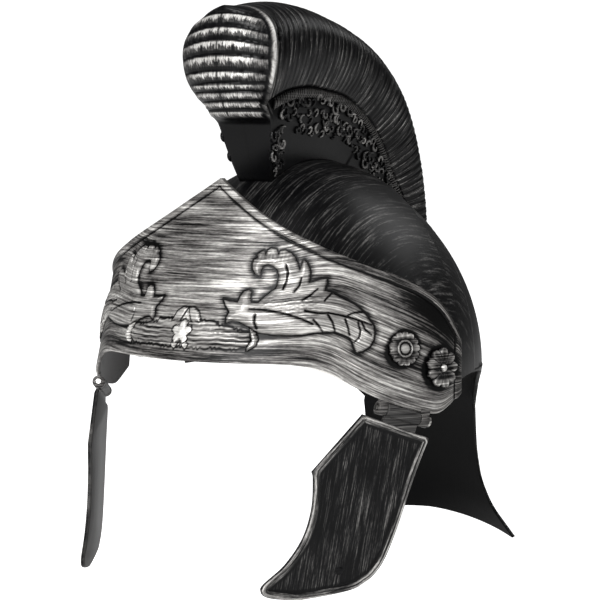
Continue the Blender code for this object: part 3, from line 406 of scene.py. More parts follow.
# the scroll's outline and its cut lines, millimetres round the plate and up from its lower edge
SCROLL = (
    (19.7, 32.3), (23.5, 31.3), (28.2, 31.0), (28.9, 33.9), (30.3, 36.4), (32.9, 37.3), (34.8, 36.3),
    (34.7, 33.5), (35.7, 31.0), (39.6, 31.0), (42.1, 33.9), (45.1, 36.5), (47.1, 38.1), (47.9, 40.9),
    (47.8, 44.2), (46.4, 47.2), (43.6, 49.4), (40.6, 50.2), (37.9, 49.4), (37.6, 47.1), (37.5, 44.0),
    (34.5, 45.2), (32.3, 47.8), (31.6, 50.8), (32.0, 52.8), (33.9, 54.0), (32.9, 55.3), (34.8, 56.7),
    (36.6, 57.6), (38.0, 55.5), (38.6, 57.8), (40.6, 58.7), (43.3, 58.2), (45.2, 55.5), (45.6, 57.3),
    (48.2, 57.7), (51.6, 56.7), (54.7, 54.2), (56.3, 51.7), (58.5, 47.6), (58.9, 50.4), (59.5, 53.0),
    (61.4, 51.8), (63.1, 49.3), (64.3, 46.5), (64.6, 43.8), (64.7, 41.2), (67.9, 42.3), (70.5, 43.0),
    (73.8, 43.4), (74.3, 41.1), (73.7, 37.2), (78.4, 36.1), (81.9, 34.4), (85.7, 32.5), (90.0, 30.4),
    (93.9, 28.1), (97.3, 25.4), (100.1, 22.0), (102.8, 18.7), (103.7, 15.3), (103.5, 11.5), (101.8, 8.3),
    (98.5, 6.2), (95.2, 5.5), (93.5, 8.5), (92.2, 11.3), (90.3, 13.5), (85.9, 15.3), (82.2, 16.4),
    (75.8, 16.2), (70.9, 15.8), (65.9, 14.8), (58.2, 14.5), (50.5, 14.6), (43.6, 15.2), (39.9, 16.6),
    (35.9, 19.0), (31.8, 20.6), (27.5, 21.3), (24.3, 20.0), (23.7, 23.1), (24.7, 25.8), (21.6, 29.3))
SCROLL_CUTS = (
    ((36.0, 27.6), (45.0, 27.3), (52.7, 26.1), (59.6, 24.5), (66.3, 22.2), (70.4, 20.5)),
    ((65.0, 27.4), (71.9, 25.7), (77.4, 26.1), (83.2, 25.1), (89.1, 23.6), (95.5, 21.6), (101.4, 19.5)),
    ((50.7, 50.3), (52.6, 46.5), (52.7, 42.1), (51.7, 38.2)), ((60.3, 43.8), (59.9, 39.9), (57.8, 36.9)),
    ((69.8, 38.3), (66.4, 35.0), (62.9, 32.5)), ((77.8, 36.1), (75.7, 33.9), (74.5, 32.3)),
    ((70.2, 22.7), (72.9, 20.3), (76.2, 16.4)), ((77.3, 25.2), (80.4, 21.3), (82.5, 16.4)),
    ((86.6, 22.9), (88.6, 19.0), (90.2, 14.6)), ((93.6, 21.1), (95.5, 16.7), (95.2, 13.4), (93.5, 11.3)),
    ((87.9, 25.0), (91.2, 26.1), (96.0, 26.3)), ((95.6, 21.1), (98.1, 17.1), (102.0, 14.3)),
    ((39.7, 24.9), (40.0, 21.1), (42.0, 17.8)))
BUNDLE = ((0.0, 19.3), (7.6, 21.2), (18.9, 20.4), (20.0, 18.8), (25.6, 18.5), (31.8, 17.0), (38.5, 16.4),
          (41.0, 14.0), (40.8, 9.1), (35.4, 7.4), (28.4, 7.0), (21.1, 7.6), (11.1, 7.0), (0.0, 7.3))
BAND = ((37.8, 17.8), (42.2, 15.8), (43.7, 12.4), (43.0, 9.2), (38.6, 6.0), (38.6, 8.2), (40.4, 11.8),
        (39.2, 15.0))
LOBE = ((0.4, 27.2), (3.6, 27.2), (7.0, 25.1), (9.2, 20.4), (3.4, 20.4), (1.1, 24.0))
SPEAR = ((0.0, 27.0), (1.4, 23.8), (3.4, 20.2), (0.0, 20.2))
LEAF = ((0.3, 12.6), (1.2, 9.4), (3.6, 5.9), (5.2, 8.6), (3.2, 11.6))
FLOWER_MIDDLE, FLOWER_PETAL = 14.8, 6.4
# the studs on it: name, radius, angle round the plate, height, petals, radius of disc, rise of boss
ROSETTES = (("front", 0.0092, 60.8, 0.0065, 13, 0.0048, 0.0014),
            ("rear", 0.0108, 73.0, -0.0050, 9, 0.0040, 0.0034))
# darker patches on the plate, partly painted reflection bands and shade, partly where the brush left little
# silver: middle round the plate and up, half sizes, how much less
SHADE_AND_THIN_SILVER_PATCHES = ((-16, 66, 26, 7, 0.30), (66, 63, 26, 5.5, 0.42), (-70, 60, 22, 6, 0.30),
                (128, 36, 24, 12, 0.46),
                (-128, 36, 30, 30, 0.30), (46, 4.5, 34, 3.0, 0.40), (-50, 4.5, 34, 3.0, 0.40),
                (116, -2, 18, 9, 0.16), (150, 10, 10, 22, 0.34), (140, 24, 16, 18, 0.56),
                (-84, 34, 22, 30, 0.26), (-40, 36, 12, 5, 0.22), (4, 80, 16, 5, 0.16),
                (-4, 48, 18, 4, 0.24), (6, 1.5, 30, 2.5, 0.22))


def brow_front():
    """Depth of the plate at its lower edge, where its leaning back just clears the cap."""
    lift = np.linspace(0, 0.995, 200)
    spread = (1 - lift ** SKULL_FULLNESS) ** (1 / SKULL_FULLNESS)
    height = lift * (SKULL_RISE + CAP_OUTSIDE) - (BROW_LEVEL - WIDEST)
    reach = np.where(height > 0, (SKULL_FRONT + CAP_OUTSIDE) * spread + BROW_LEAN * height, 0).max()
    return reach + BROW_CLEAR + WALL * math.sqrt(1 + BROW_LEAN ** 2)


BROW_FRONT = brow_front()


def brow(degrees, height, offset=0.0):
    """Points of the plate's face, at angles and heights in metres over its front lower edge."""
    half = BROW_HALF - BROW_SIDE_LEAN * height + offset
    depth = BROW_FRONT - BROW_LEAN * height + offset * math.sqrt(1 + BROW_LEAN ** 2)
    x, y = plan(np.radians(degrees), half, depth, BROW_SQUARE)
    return np.stack([x, y, BROW_LEVEL + height + 0 * x], axis=-1)


def outline_depth(x, y, outline):
    """How far inside a closed outline points lie, negative outside."""
    inside, nearest = np.zeros(x.shape, bool), np.full(x.shape, 1e9)
    for (x0, y0), (x1, y1) in zip(outline, outline[1:] + outline[:1]):
        nearest = np.minimum(nearest, line_gap(x, y, ((x0, y0), (x1, y1))))
        if y0 != y1:
            inside ^= ((y0 > y) != (y1 > y)) & (x < (x1 - x0) * (y - y0) / (y1 - y0) + x0)
    return np.where(inside, nearest, -nearest)


def line_gap(x, y, line):
    """Distance of points from an open line."""
    nearest = np.full(x.shape, 1e9)
    for (x0, y0), (x1, y1) in zip(line, line[1:]):
        along, up = x1 - x0, y1 - y0
        share = np.clip(((x - x0) * along + (y - y0) * up) / (along ** 2 + up ** 2), 0, 1)
        nearest = np.minimum(nearest, np.hypot(x - x0 - along * share, y - y0 - up * share))
    return nearest


def brow_relief(s, h):
    """Rise of the cast ornament in millimetres, and the silver on it, round and up the plate."""
    side = np.abs(s)
    rise, silver = np.zeros(s.shape), np.zeros(s.shape)
    inked = np.zeros(s.shape)
    near = (side < 108) & (h < 62) & (h > 2)
    x, y = side[near], h[near]
    depth = outline_depth(x, y, SCROLL)
    cut = np.max([np.exp(-(line_gap(x, y, line) / 0.42) ** 2) for line in SCROLL_CUTS], axis=0)
    scales = (0.5 + 0.5 * np.cos(x * 2 * np.pi / 4.4 + np.pi * (np.floor(y / 1.9) % 2))
              * np.cos(y * 2 * np.pi / 3.8)) * smooth((y - 24 - (x - 40) * -0.05) / 2) * smooth((36 - y) / 3)
    scales *= smooth((x - 40) / 4) * smooth((76 - x) / 6)
    ribs = np.abs(np.sin(x * np.pi / 2.2)) * smooth((y - 50) / 5) * smooth((60 - x) / 4)
    body = 1.3 * smooth(depth / 1.1) + 0.9 * smooth(depth / 5.0)
    rise[near] = body * (1 - 0.55 * cut) - 0.28 * scales * smooth(depth / 2) - 0.18 * ribs * smooth(depth / 2)
    silver[near] = smooth(depth / 0.5) * (0.04 - 0.7 * cut - 0.14 * scales - 0.10 * ribs)
    inked[near] = np.exp(-((depth + 0.35) / 0.45) ** 2) + 0.35 * np.exp(-((depth + 1.2) / 1.4) ** 2)

    near = (side < 50) & (h < 30) & (h > 2)
    x, y, across = side[near], h[near], s[near]
    depth = outline_depth(x, y, BUNDLE)
    strands = np.sin(y * 2.6 + 0.9 * np.sin(across * 0.21) + 0.5 * np.sin(across * 0.73 + 1))
    ragged = np.sin(across * 1.7 + 2 * np.sin(across * 0.6))
    swell = 1.7 * smooth((depth + 0.3 * ragged) / 4.5) ** 0.6 + 0.25 * strands * smooth(depth / 2)
    part = np.where(depth > 0, swell, 0)
    tint = smooth(depth / 0.6) * (-0.09 + 0.24 * strands + 0.10 * smooth((y - 12) / 6))
    ink = np.exp(-((depth + 0.3 * ragged + 0.2) / 0.5) ** 2)
    raised = ((BAND, 2.4, 0.32), (LOBE, 0.9, 0.16), (SPEAR, 1.1, 0.22), (LEAF, 2.3, 0.34))
    for outline, lift, bright in raised:
        inner = outline_depth(x, y, outline)
        part = np.maximum(part, lift * smooth(inner / 0.9))
        tint = np.where(inner > 0, bright * smooth(inner / 0.4), tint)
        ink = np.where(inner > 0, 0, ink)
        ink = np.maximum(ink, np.exp(-((inner + 0.25) / 0.32) ** 2) * (inner < 0.1))
    band = outline_depth(x, y, BAND) > 0
    tint = np.where(band & (np.sin(y * 4.2) < -0.2), tint - 0.25, tint)
    out, turn = np.hypot(across, y - FLOWER_MIDDLE), np.arctan2(across, y - FLOWER_MIDDLE)
    petal = FLOWER_PETAL * (0.45 + 0.55 * np.abs(np.cos(turn * 2.5)) ** 0.6) - out
    part = np.where(petal > 0, np.maximum(part, 2.2 * smooth(petal / 1.4)), part)
    tint = np.where(petal > 0, 0.36 * smooth(petal / 0.7) - 0.3 * np.exp(-(petal / 0.5) ** 2), tint)
    ink = np.where(petal > 0.2, 0, np.maximum(ink, np.exp(-(petal / 0.45) ** 2)))
    part += 0.9 * smooth((2.2 - out) / 1.2)
    rise[near] = np.maximum(rise[near], part)
    silver[near] = np.where((depth > 0) | (part > 0.05), tint, silver[near])
    inked[near] = np.maximum(np.where(part > 0.3, 0, inked[near]), ink)
    return rise, silver, inked


def thick_plate(outer, inner, step):
    """Closed plate with a fine face and a coarse back, joined round their edges."""
    columns, rows = outer.shape[:2]
    back_columns = list(range(0, columns - 1, step)) + [columns - 1]
    back_rows = list(range(0, rows - 1, step)) + [rows - 1]
    back = inner[back_columns][:, back_rows]
    first = columns * rows
    faces = quads(columns, rows).tolist()
    faces += (quads(len(back_columns), len(back_rows))[:, ::-1] + first).tolist()
    for number, (low, high) in enumerate(zip(back_columns, back_columns[1:])):
        for row, back_row in ((0, 0), (rows - 1, len(back_rows) - 1)):
            behind = [first + place * len(back_rows) + back_row for place in (number + 1, number)]
            faces.append([column * rows + row for column in range(low, high + 1)] + behind)
    for number, (low, high) in enumerate(zip(back_rows, back_rows[1:])):
        for column, back_column in ((0, 0), (columns - 1, len(back_columns) - 1)):
            behind = [first + back_column * len(back_rows) + place for place in (number + 1, number)]
            faces.append([column * rows + row for row in range(low, high + 1)] + behind)
    return np.concatenate([outer.reshape(-1, 7), back.reshape(-1, 7)]), faces


fine = np.linspace(0, BROW_END, 1601)
path = brow(fine, 0.020)
arc = np.concatenate([[0], np.cumsum(np.linalg.norm(np.diff(path, axis=0), axis=1))]) * 1000
s = np.linspace(-arc[-1], arc[-1], BROW_COLUMNS)[:, None]
degrees = np.sign(s) * np.interp(np.abs(s), arc, fine)
edge_window = 1.4
low = -BROW_DIP * soft(np.abs(degrees), BROW_EDGES, 1, edge_window)
top = BROW_PEAK * soft(np.abs(degrees), BROW_EDGES, 2, edge_window)
shares = np.linspace(0, 1, BROW_ROWS)[None, :]
h = low + (top - low) * shares
to_top = (top - h) * 0.91
to_end = (arc[-1] - np.abs(s)) + 0 * h
to_rim = np.minimum(to_top, to_end)
rise, tint, inked = brow_relief(s + 0 * h, h)
rim = smooth((RIM_WIDTH + 0.5 - to_rim) / 0.9)
rim_round = RIM_RISE * rim * (0.72 + 0.28 * np.sin(np.clip(to_rim / RIM_WIDTH, 0, 1) * np.pi))
groove = np.exp(-((to_rim - RIM_WIDTH - 1.0) / 0.55) ** 2)
offset = (rise * (1 - rim) + rim_round - 0.4 * groove * (rise < 0.2)) / 1000
to_low = h - low
offset -= LOW_EDGE_ROUND * smooth(1 - to_low / 0.9) ** 2
# painted reflection and shade: soft darker patches taken off the plate's silver, together with real thin
# silver where the brush missed
dark = sum(amount * np.exp(-((s - x) / wide) ** 2 - ((h - y) / high) ** 2)
           for x, y, wide, high, amount in SHADE_AND_THIN_SILVER_PATCHES)
silver = PLATE_SILVER - dark * (tint == 0) + tint - INK_LOSS * inked
rim_silver = RIM_SILVER - RIM_FADE * smooth((np.abs(s) - RIM_FADE_FROM) / RIM_FADE_RUN)
silver = np.where(rim > 0.5, rim_silver, silver) - GROOVE_LOSS * groove
# painted shadow: the plate's silver darkens in a ring round each rosette stud
for _, radius, turn, height, *_ in ROSETTES:
    gap = np.hypot(np.abs(s) - np.interp(turn, fine, arc), h - height * 1000) - radius * 1000
    silver = silver - STUD_SHADOW_DEPTH * np.exp(-(gap.clip(0) / STUD_SHADOW) ** 2)
silver = silver + LOW_EDGE_SILVER * smooth(1 - to_low / 0.8)
weight = smooth((np.abs(s) - 40) / 60)
across = h - weight * ((1 - shares) * low + shares * (top - 50))
stroke = 1.0 - 0.45 * smooth(tint / 0.1)
face = brow(degrees, h / 1000, offset)
back = brow(degrees, h / 1000, -WALL)
outer = dressed(face, s + 0 * h, across, stroke, silver)
inner = dressed(back, s + 0 * h, across, 0.0, PLATE_BACK_SILVER)
plate = thick_plate(outer, inner, BACK_STEP)

# Hinge lugs: two round knuckles on each side, moulded in one with the plate's lower edge.
HINGE_START, HINGE_END, HINGE_DROP, HINGE_TOE = 55.4, 69.2, 0.0044, 0.0011
KNUCKLE_RADIUS, KNUCKLE_LENGTH, KNUCKLE_BEVEL, PIN_RADIUS, GAP = 0.0036, 0.0050, 0.00035, 0.0014, 0.0003
WEB_SHARE, LUG_SHARE, LUG_SILVER = 0.84, 0.4, 0.34


def hinge_ends(side):
    """Ends of a cheek guard's hinge axis, front then rear."""
    ends = []
    for turn, toe in ((HINGE_START, -HINGE_TOE), (HINGE_END, HINGE_TOE)):
        drop = -BROW_DIP / 1000 * np.interp(turn, BROW_EDGES[:, 0], BROW_EDGES[:, 1])
        ends.append(brow(turn * side, drop - HINGE_DROP, toe - WALL / 2))
    return ends


def unit(vector):
    """Vector of length one."""
    return vector / np.linalg.norm(vector)


def tube_faces(rings, sides, loop=False):
    """Faces between rings of points: the last joined to the first, or both ends closed."""
    faces = []
    for ring in range(rings if loop else rings - 1):
        here, over = ring * sides, (ring + 1) % rings * sides
        for step in range(sides):
            ahead = (step + 1) % sides
            faces.append([here + step, here + ahead, over + ahead, over + step])
    if not loop:
        faces += [list(range(sides)), list(range((rings - 1) * sides, rings * sides))]
    return faces


def knuckle(start, end, direction, length, silver, sides=30):
    """Round knuckle with a bore along a hinge's axis, and a flat web out to a length."""
    axis = unit(end - start)
    out = unit(direction - axis * axis.dot(direction))
    sideways = np.cross(axis, out)
    half = WALL * WEB_SHARE / 2
    clear = math.asin(half / KNUCKLE_RADIUS)
    turns = np.linspace(clear, 2 * np.pi - clear, sides)
    outline = np.stack([KNUCKLE_RADIUS * np.sin(turns), KNUCKLE_RADIUS * np.cos(turns)], axis=-1)
    outline = np.concatenate([[(half, length)], outline, [(-half, length)]])
    turns = np.concatenate([[0.12], turns, [2 * np.pi - 0.12]])
    bore = (PIN_RADIUS + GAP) * np.stack([np.sin(turns), np.cos(turns)], axis=-1)
    rounded = np.hypot(*outline.T) < KNUCKLE_RADIUS * 1.01
    bevel = axis * KNUCKLE_BEVEL
    rings = []
    for place, flat in ((start, 1), (start + bevel, 0), (end - bevel, 0), (end, 1)):
        shape = outline * (1 - flat * KNUCKLE_BEVEL / KNUCKLE_RADIUS * rounded)[:, None]
        rings.append(place + shape[:, :1] * sideways + shape[:, 1:] * out)
    for place in (end, start):
        rings.append(place + bore[:, :1] * sideways + bore[:, 1:] * out)
    points = np.stack(rings)
    along = np.arange(len(rings))[:, None] * 2.0 + 0 * points[..., 0]
    data = dressed(points, along, points[..., 2] * 1000, 0.6, silver)
    return data.reshape(-1, 7), tube_faces(len(rings), len(outline), loop=True)


UP = np.array([0.0, 0.0, 1.0])
lugs = []
for side in (1.0, -1.0):
    front_end, rear_end = hinge_ends(side)
    axis = unit(rear_end - front_end)
    for start_end in (front_end, rear_end - axis * KNUCKLE_LENGTH):
        lugs.append(knuckle(start_end, start_end + axis * KNUCKLE_LENGTH, UP,
                            HINGE_DROP + KNUCKLE_RADIUS * LUG_SHARE, LUG_SILVER))

# Black polystyrene brushed along with antique silver: a mid-grey sheen broken by hair-thin
# near-white strokes, worn to black in hollows, with a soft metallic gloss.
PLATE_STOPS = ((0.0, "#050505"), (0.16, "#121212"), (0.32, "#4a4847"), (0.48, "#716f6d"), (0.66, "#9c9a97"),
               (0.82, "#d6d4d0"), (1.0, "#f8f6f2"))
plate_plastic = rubbed_plastic("antique_silver_over_polystyrene", PLATE_STOPS, (30.0, 0.9), (52.0, 5.0),
                               (0.26, 0.22, 0.10), (0.36, 0.40), (0.05, 0.45))
fit("brow_plate_cast", make_mesh("brow_plate_cast", joined(plate, *lugs), plate_plastic, 50.0), "helmet",
    "silver_brushed_plastic", "brow_plate")

# Rosette studs: small moulded flowers whose pins go through the plate into the cap. The front
# one is a ring of petals round a flat disc, the rear one has open petals round a high boss.
STUD_RADIUS, STUD_LENGTH = 0.0020, 0.0290
WEB_SHARES = {"front": 0.80, "rear": 0.56}      # how far the web between the petals reaches


# silver on a petal's points: along it by across it
PETAL_TONES = np.outer((0.0, 0.35, 0.95, 1.0, 0.7), (0.0, 0.62, 0.40, 0.62, 0.0, 0.0))


def bare_mesh(name, points, faces=()):
    """Mesh of points and faces alone."""
    mesh = bpy.data.meshes.new(name)
    mesh.from_pydata([tuple(point) for point in points], [], faces)
    return mesh


def petal_shape():
    """One petal one unit long, pointing along X, domed and ribbed along its middle."""
    rows = ((0.0, 0.16), (0.35, 0.30), (0.70, 0.42), (0.92, 0.30), (1.0, 0.10))
    points = []
    for along, half in rows:
        for across, height in ((-1, 0.0), (-0.6, 0.22), (0, 0.16), (0.6, 0.22), (1, 0.0), (0, -0.2)):
            points.append((along, across * half, height * (1.25 - along * 0.5)))
    return bare_mesh("petal_shape", points, tube_faces(len(rows), 6))


def follow_tree():
    """Geometry Nodes: sets one shape on guide points, turned to their directions."""
    tree = bpy.data.node_groups.new("set_shapes_on_guide", "GeometryNodeTree")
    for name, kind, value in (("Guide", "NodeSocketGeometry", None), ("Shape", "NodeSocketObject", None),
                              ("Material", "NodeSocketMaterial", None), ("Smallest", "NodeSocketFloat", 1.0),
                              ("Largest", "NodeSocketFloat", 1.0), ("Spin", "NodeSocketFloat", 0.0),
                              ("Seed", "NodeSocketInt", 5)):
        socket = tree.interface.new_socket(name, in_out="INPUT", socket_type=kind)
        if value is not None:
            socket.default_value = value
    tree.interface.new_socket("Geometry", in_out="OUTPUT", socket_type="NodeSocketGeometry")
    given = node(tree, "NodeGroupInput")
    points = node(tree, "GeometryNodeMeshToPoints", {"Mesh": given["Guide"]})["Points"]
    out = node(tree, "GeometryNodeInputNamedAttribute", {"Name": "out"}, data_type="FLOAT_VECTOR")[0]
    way = node(tree, "GeometryNodeInputNamedAttribute", {"Name": "way"}, data_type="FLOAT_VECTOR")[0]
    turned = node(tree, "FunctionNodeAlignRotationToVector", {"Vector": out}, axis="Z")[0]
    turned = node(tree, "FunctionNodeAlignRotationToVector", {"Rotation": turned, "Vector": way},
                  axis="X", pivot_axis="Z")[0]
    back = node(tree, "ShaderNodeMath", {0: given["Spin"], 1: -1.0}, operation="MULTIPLY")[0]
    spin = node(tree, "FunctionNodeRandomValue", {2: back, 3: given["Spin"], "Seed": given["Seed"]},
                data_type="FLOAT")[1]
    spun = node(tree, "ShaderNodeCombineXYZ", {"Z": spin})[0]
    rotation = node(tree, "FunctionNodeRotateRotation", {"Rotation": turned, "Rotate By": spun},
                    rotation_space="LOCAL")[0]
    size = node(tree, "FunctionNodeRandomValue", {2: given["Smallest"], 3: given["Largest"],
                                                  "Seed": given["Seed"]}, data_type="FLOAT")[1]
    shape = node(tree, "GeometryNodeObjectInfo", {"Object": given["Shape"]})["Geometry"]
    set_out = node(tree, "GeometryNodeInstanceOnPoints", {"Points": points, "Instance": shape,
                                                          "Rotation": rotation, "Scale": size})[0]
    real = node(tree, "GeometryNodeRealizeInstances", {0: set_out})[0]
    done = node(tree, "GeometryNodeSetMaterial", {0: real, "Material": given["Material"]})[0]
    result = tree.nodes.new("NodeGroupOutput")
    tree.links.new(done, result.inputs[0])
    return tree


FOLLOW = follow_tree()


def set_shapes(places, outs, ways, shape, material, smallest, largest, spin=0.0, seed=5):
    """Plain mesh of a shape repeated at places, each turned to its outward and lengthwise way."""
    guide_mesh = bare_mesh("guide", np.asarray(places).tolist())
    for name, values in (("out", outs), ("way", ways)):
        layer = guide_mesh.attributes.new(name, "FLOAT_VECTOR", "POINT")
        layer.data.foreach_set("vector", np.asarray(values, dtype=float).ravel())
    guide = bpy.data.objects.new("guide", guide_mesh)
    pattern = bpy.data.objects.new("pattern", shape)
    for item in (guide, pattern):
        bpy.context.scene.collection.objects.link(item)
    modifier = guide.modifiers.new("shapes", "NODES")
    modifier.node_group = FOLLOW
    for item in FOLLOW.interface.items_tree:
        value = {"Shape": pattern, "Material": material, "Smallest": smallest, "Largest": largest,
                 "Spin": spin, "Seed": seed}.get(item.name)
        if item.in_out == "INPUT" and value is not None:
            modifier[item.identifier] = value
    graph = bpy.context.evaluated_depsgraph_get()
    mesh = bpy.data.meshes.new_from_object(guide.evaluated_get(graph))
    for item in (guide, pattern):
        bpy.data.objects.remove(item, do_unlink=True)
    return mesh


def body_of_mesh(mesh, stroke, silver):
    """Body of dressed points from a mesh of repeated shapes."""
    points = np.empty(len(mesh.vertices) * 3)
    mesh.vertices.foreach_get("co", points)
    points = points.reshape(-1, 3)
    faces = [list(face.vertices) for face in mesh.polygons]
    return dressed(points, points[:, 0] * 1000, points[:, 2] * 1000, stroke, silver), faces


def turned_body(centre, normal, profile, silver, sides=28):
    """Body turned round a normal from radii, rises and silver, closed at both ends."""
    right = unit(np.cross(UP, normal))
    upward = np.cross(normal, right)
    turns = np.linspace(0, 2 * np.pi, sides, endpoint=False)
    ring = right * np.cos(turns)[:, None] + upward * np.sin(turns)[:, None]
    points = np.concatenate([centre + normal * rise + ring * radius for radius, rise, _ in profile])
    tone = np.repeat([silver * share for _, _, share in profile], sides)
    data = dressed(points, points[:, 0] * 1000, points[:, 2] * 1000, 0.7, tone)
    return data, tube_faces(len(profile), sides)


def face_normal(degrees, height):
    """Outward direction of the plate's face."""
    place = brow(degrees, height)
    return unit(np.cross(brow(degrees + 0.5, height) - place, brow(degrees, height + 0.001) - place))


# The same silver, thicker on the studs' raised petals and gone from between them.
for side, side_name in ((1.0, "left"), (-1.0, "right")):
    for place_name, radius, turn, height, petals, disc, boss in ROSETTES:
        normal = face_normal(turn * side, height)
        centre = brow(turn * side, height)
        around = [brow(turn + x, height + z) - brow(turn, height)
                  for x in (-8, -4, 0, 4, 8) for z in (-0.011, 0, 0.011)]
        proud = max(float(np.dot(gap, face_normal(turn, height))) for gap in around) + GAP
        base = centre + normal * proud
        right = unit(np.cross(UP, normal)) * side
        upward = np.cross(normal, right)
        turns = np.linspace(0, 2 * np.pi, petals, endpoint=False)
        ways = [right * math.cos(angle) + upward * math.sin(angle) for angle in turns]
        reach = radius * 0.98 - disc * 0.55
        places = [base + way * disc * 0.55 + normal * 0.0006 for way in ways]
        ring = set_shapes(places, [normal] * petals, ways, petal_shape(), plate_plastic, reach, reach)
        web = radius * WEB_SHARES[place_name]
        plinth = turned_body(base, normal, ((web, 0, 0), (web, 0.0005, 0), (web * 0.97, 0.0006, 0)), 0.0)
        rim = ((disc, 0, 0), (disc, 0.0017, 0.6), (disc * 0.93, 0.0022, 1.2), (disc * 0.8, 0.0022, 1.15),
               (disc * 0.74, 0.0017, 0.5), (disc * 0.55, 0.0019, 0.95))
        if place_name == "rear":
            rim += ((disc * 0.48, boss * 0.8, 1.0), (disc * 0.34, boss, 1.6), (disc * 0.1, boss * 1.06, 1.6))
        else:
            rim += ((disc * 0.3, 0.0021, 1.1), (disc * 0.05, 0.0021, 1.1))
        button = turned_body(base, normal, rim, 0.56)
        post = turned_body(base, normal, ((STUD_RADIUS, 0.0004, 0), (STUD_RADIUS, -STUD_LENGTH, 0)), 0.0, 16)
        petal_body = body_of_mesh(ring, 0.9, np.tile(PETAL_TONES.ravel(), petals))
        stud = joined(petal_body, plinth, button, post)
        name = f"rosette_stud_{side_name}_{place_name}"
        fit(name, make_mesh(name, stud, plate_plastic), "helmet", "silver_brushed_plastic",
            f"rosette_{side_name}_{place_name}")

# Crest: two hollow halves of black polystyrene glued on the middle plane. The face is moulded as
# rolls and the sides as combed hair over a rope border and a panel of leaf scrolls, on a smooth neck.
CREST_CENTRE = (-0.006, -0.0578)
CREST_RADIUS, ROPE_RADIUS, ROPE_WIDTH, CREST_HALF = 0.145, 0.098, 0.0070, 0.030
CREST_FRONT, CREST_TAIL, CREST_NOSE, CREST_SEAT = 30.0, 94.0, 0.012, 0.0003
SEAM_HALF = 0.00004           # half the hairline between the glued halves
ROPE_SHARES, ROPE_SWELL, ROPE_SWELL_SHARE, BEAD_SHARE, FACE_SHARE = (0.30, 0.55), 0.09, 0.26, 0.20, 0.30
CREST_BORDER = np.array([(0.400, 1.36), (0.466, 1.29), (0.678, 1.06), (0.754, 1.10), (0.850, 1.06),
                         (0.965, 0.93), (1.079, 0.73)])
CREST_LENGTH = np.array([
    (0.000, 1.079, 1.00), (0.050, 1.070, 1.00), (0.110, 1.055, 0.99), (0.180, 1.030, 0.97),
    (0.260, 1.000, 0.94), (0.345, 0.982, 0.89), (0.430, 0.978, 0.83), (0.580, 0.969, 0.73),
    (0.650, 0.955, 0.68), (0.710, 0.941, 0.64), (0.765, 0.927, 0.60), (0.815, 0.916, 0.56),
    (0.860, 0.908, 0.53), (0.900, 0.903, 0.49), (0.940, 0.897, 0.42), (0.975, 0.886, 0.30),
    (1.000, 0.870, 0.0)])
PANEL_WIDTHS = np.array([(0.0, 0.36), (0.30, 0.44), (0.60, 0.52), (0.90, 0.60), (1.0, 0.60)])
# grooves between the face's rolls, millimetres down from the rim along the seam
ROLL_GROOVES = (-1.0, 2.6, 8.3, 13.6, 20.2, 28.1, 34.4, 39.5, 45.1, 50.6, 58.0)
ROLL_DEPTH, ROLL_DROOP, HAIR_PITCH, HAIR_DEPTH = 0.0015, 6.0, 4.6, 0.0005
HOLE_DOWN, HOLE_BACK, HOLE_HALF, HOLE_DEPTH = 14.2, 5.2, (2.8, 1.6), 0.003
HAIR_TURN, HAIR_FOOT_LOSS = 0.58, 0.34  # share of the height where the hair turns in, and its foot
FACE_COLUMNS, CREST_COLUMNS, CREST_END_COLUMNS = 64, 330, 22


def bowl_radius(across, degrees, offset):
    """Distance from the crest's centre to the bowl, along rays that lean back from upright."""
    sine, cosine = np.sin(np.radians(degrees)), np.cos(np.radians(degrees))
    low, high = np.full(np.shape(degrees + across), 0.010), np.full(np.shape(degrees + across), 0.140)
    for _ in range(34):
        radius = (low + high) / 2
        y, z = CREST_CENTRE[0] + radius * sine, CREST_CENTRE[1] + radius * cosine
        depth = np.where(y < 0, SKULL_FRONT, SKULL_REAR) + offset
        spread = ((np.abs(across) / (SKULL_HALF + offset)) ** SKULL_SQUARE
                  + (np.abs(y) / depth) ** SKULL_SQUARE) ** (1 / SKULL_SQUARE)
        lift = (z - WIDEST).clip(0) / (SKULL_RISE + offset)
        out = spread ** SKULL_FULLNESS + lift ** SKULL_FULLNESS > 1
        low, high = np.where(out, low, radius), np.where(out, radius, high)
    return high


def seat(across, degrees):
    """Radius of the crest's foot, over the cap or over the rear shell behind the seam."""
    radius = bowl_radius(across, degrees, CAP_OUTSIDE)
    y = CREST_CENTRE[0] + radius * np.sin(np.radians(degrees))
    z = CREST_CENTRE[1] + radius * np.cos(np.radians(degrees))
    behind = smooth((y - seam_y(z)) / 0.002 + 0.5)
    past_ridge = smooth((y - RIDGE_BACK - RIDGE_LEAN * (z - WIDEST)) / RIDGE_RUN + 0.5)
    radius = radius + (bowl_radius(across, degrees, 0.0) - radius) * behind
    return radius - RIDGE_STEP * past_ridge + CREST_SEAT


def crest_angle(share, radius):
    """Degrees behind upright for a share of the crest's length, bent to its face's border."""
    plain = -CREST_FRONT + (CREST_FRONT + CREST_TAIL) * share
    border = -CREST_FRONT * soft(radius / CREST_RADIUS, CREST_BORDER, 1, 0.03)
    return plain + (border + CREST_FRONT) * (1 - share / FACE_SHARE).clip(0)


def hair_width(lift):
    """Half width of the hair as a share, from the rope (0) to the rim (1)."""
    over = ((lift - HAIR_TURN) / (1 - HAIR_TURN)).clip(0, 1)
    under = ((HAIR_TURN - lift) / HAIR_TURN).clip(0)
    return np.where(lift > HAIR_TURN, np.sqrt(1 - over ** 2.2), 1 - HAIR_FOOT_LOSS * under ** 2)


def crest_place(across, degrees, radius, ahead=0.0):
    """Points of the crest on the wearer's left, clear of the middle plane."""
    turn = np.radians(degrees)
    return np.stack(np.broadcast_arrays(across + SEAM_HALF, CREST_CENTRE[0] + radius * np.sin(turn) - ahead,
                                        CREST_CENTRE[1] + radius * np.cos(turn)), axis=-1)


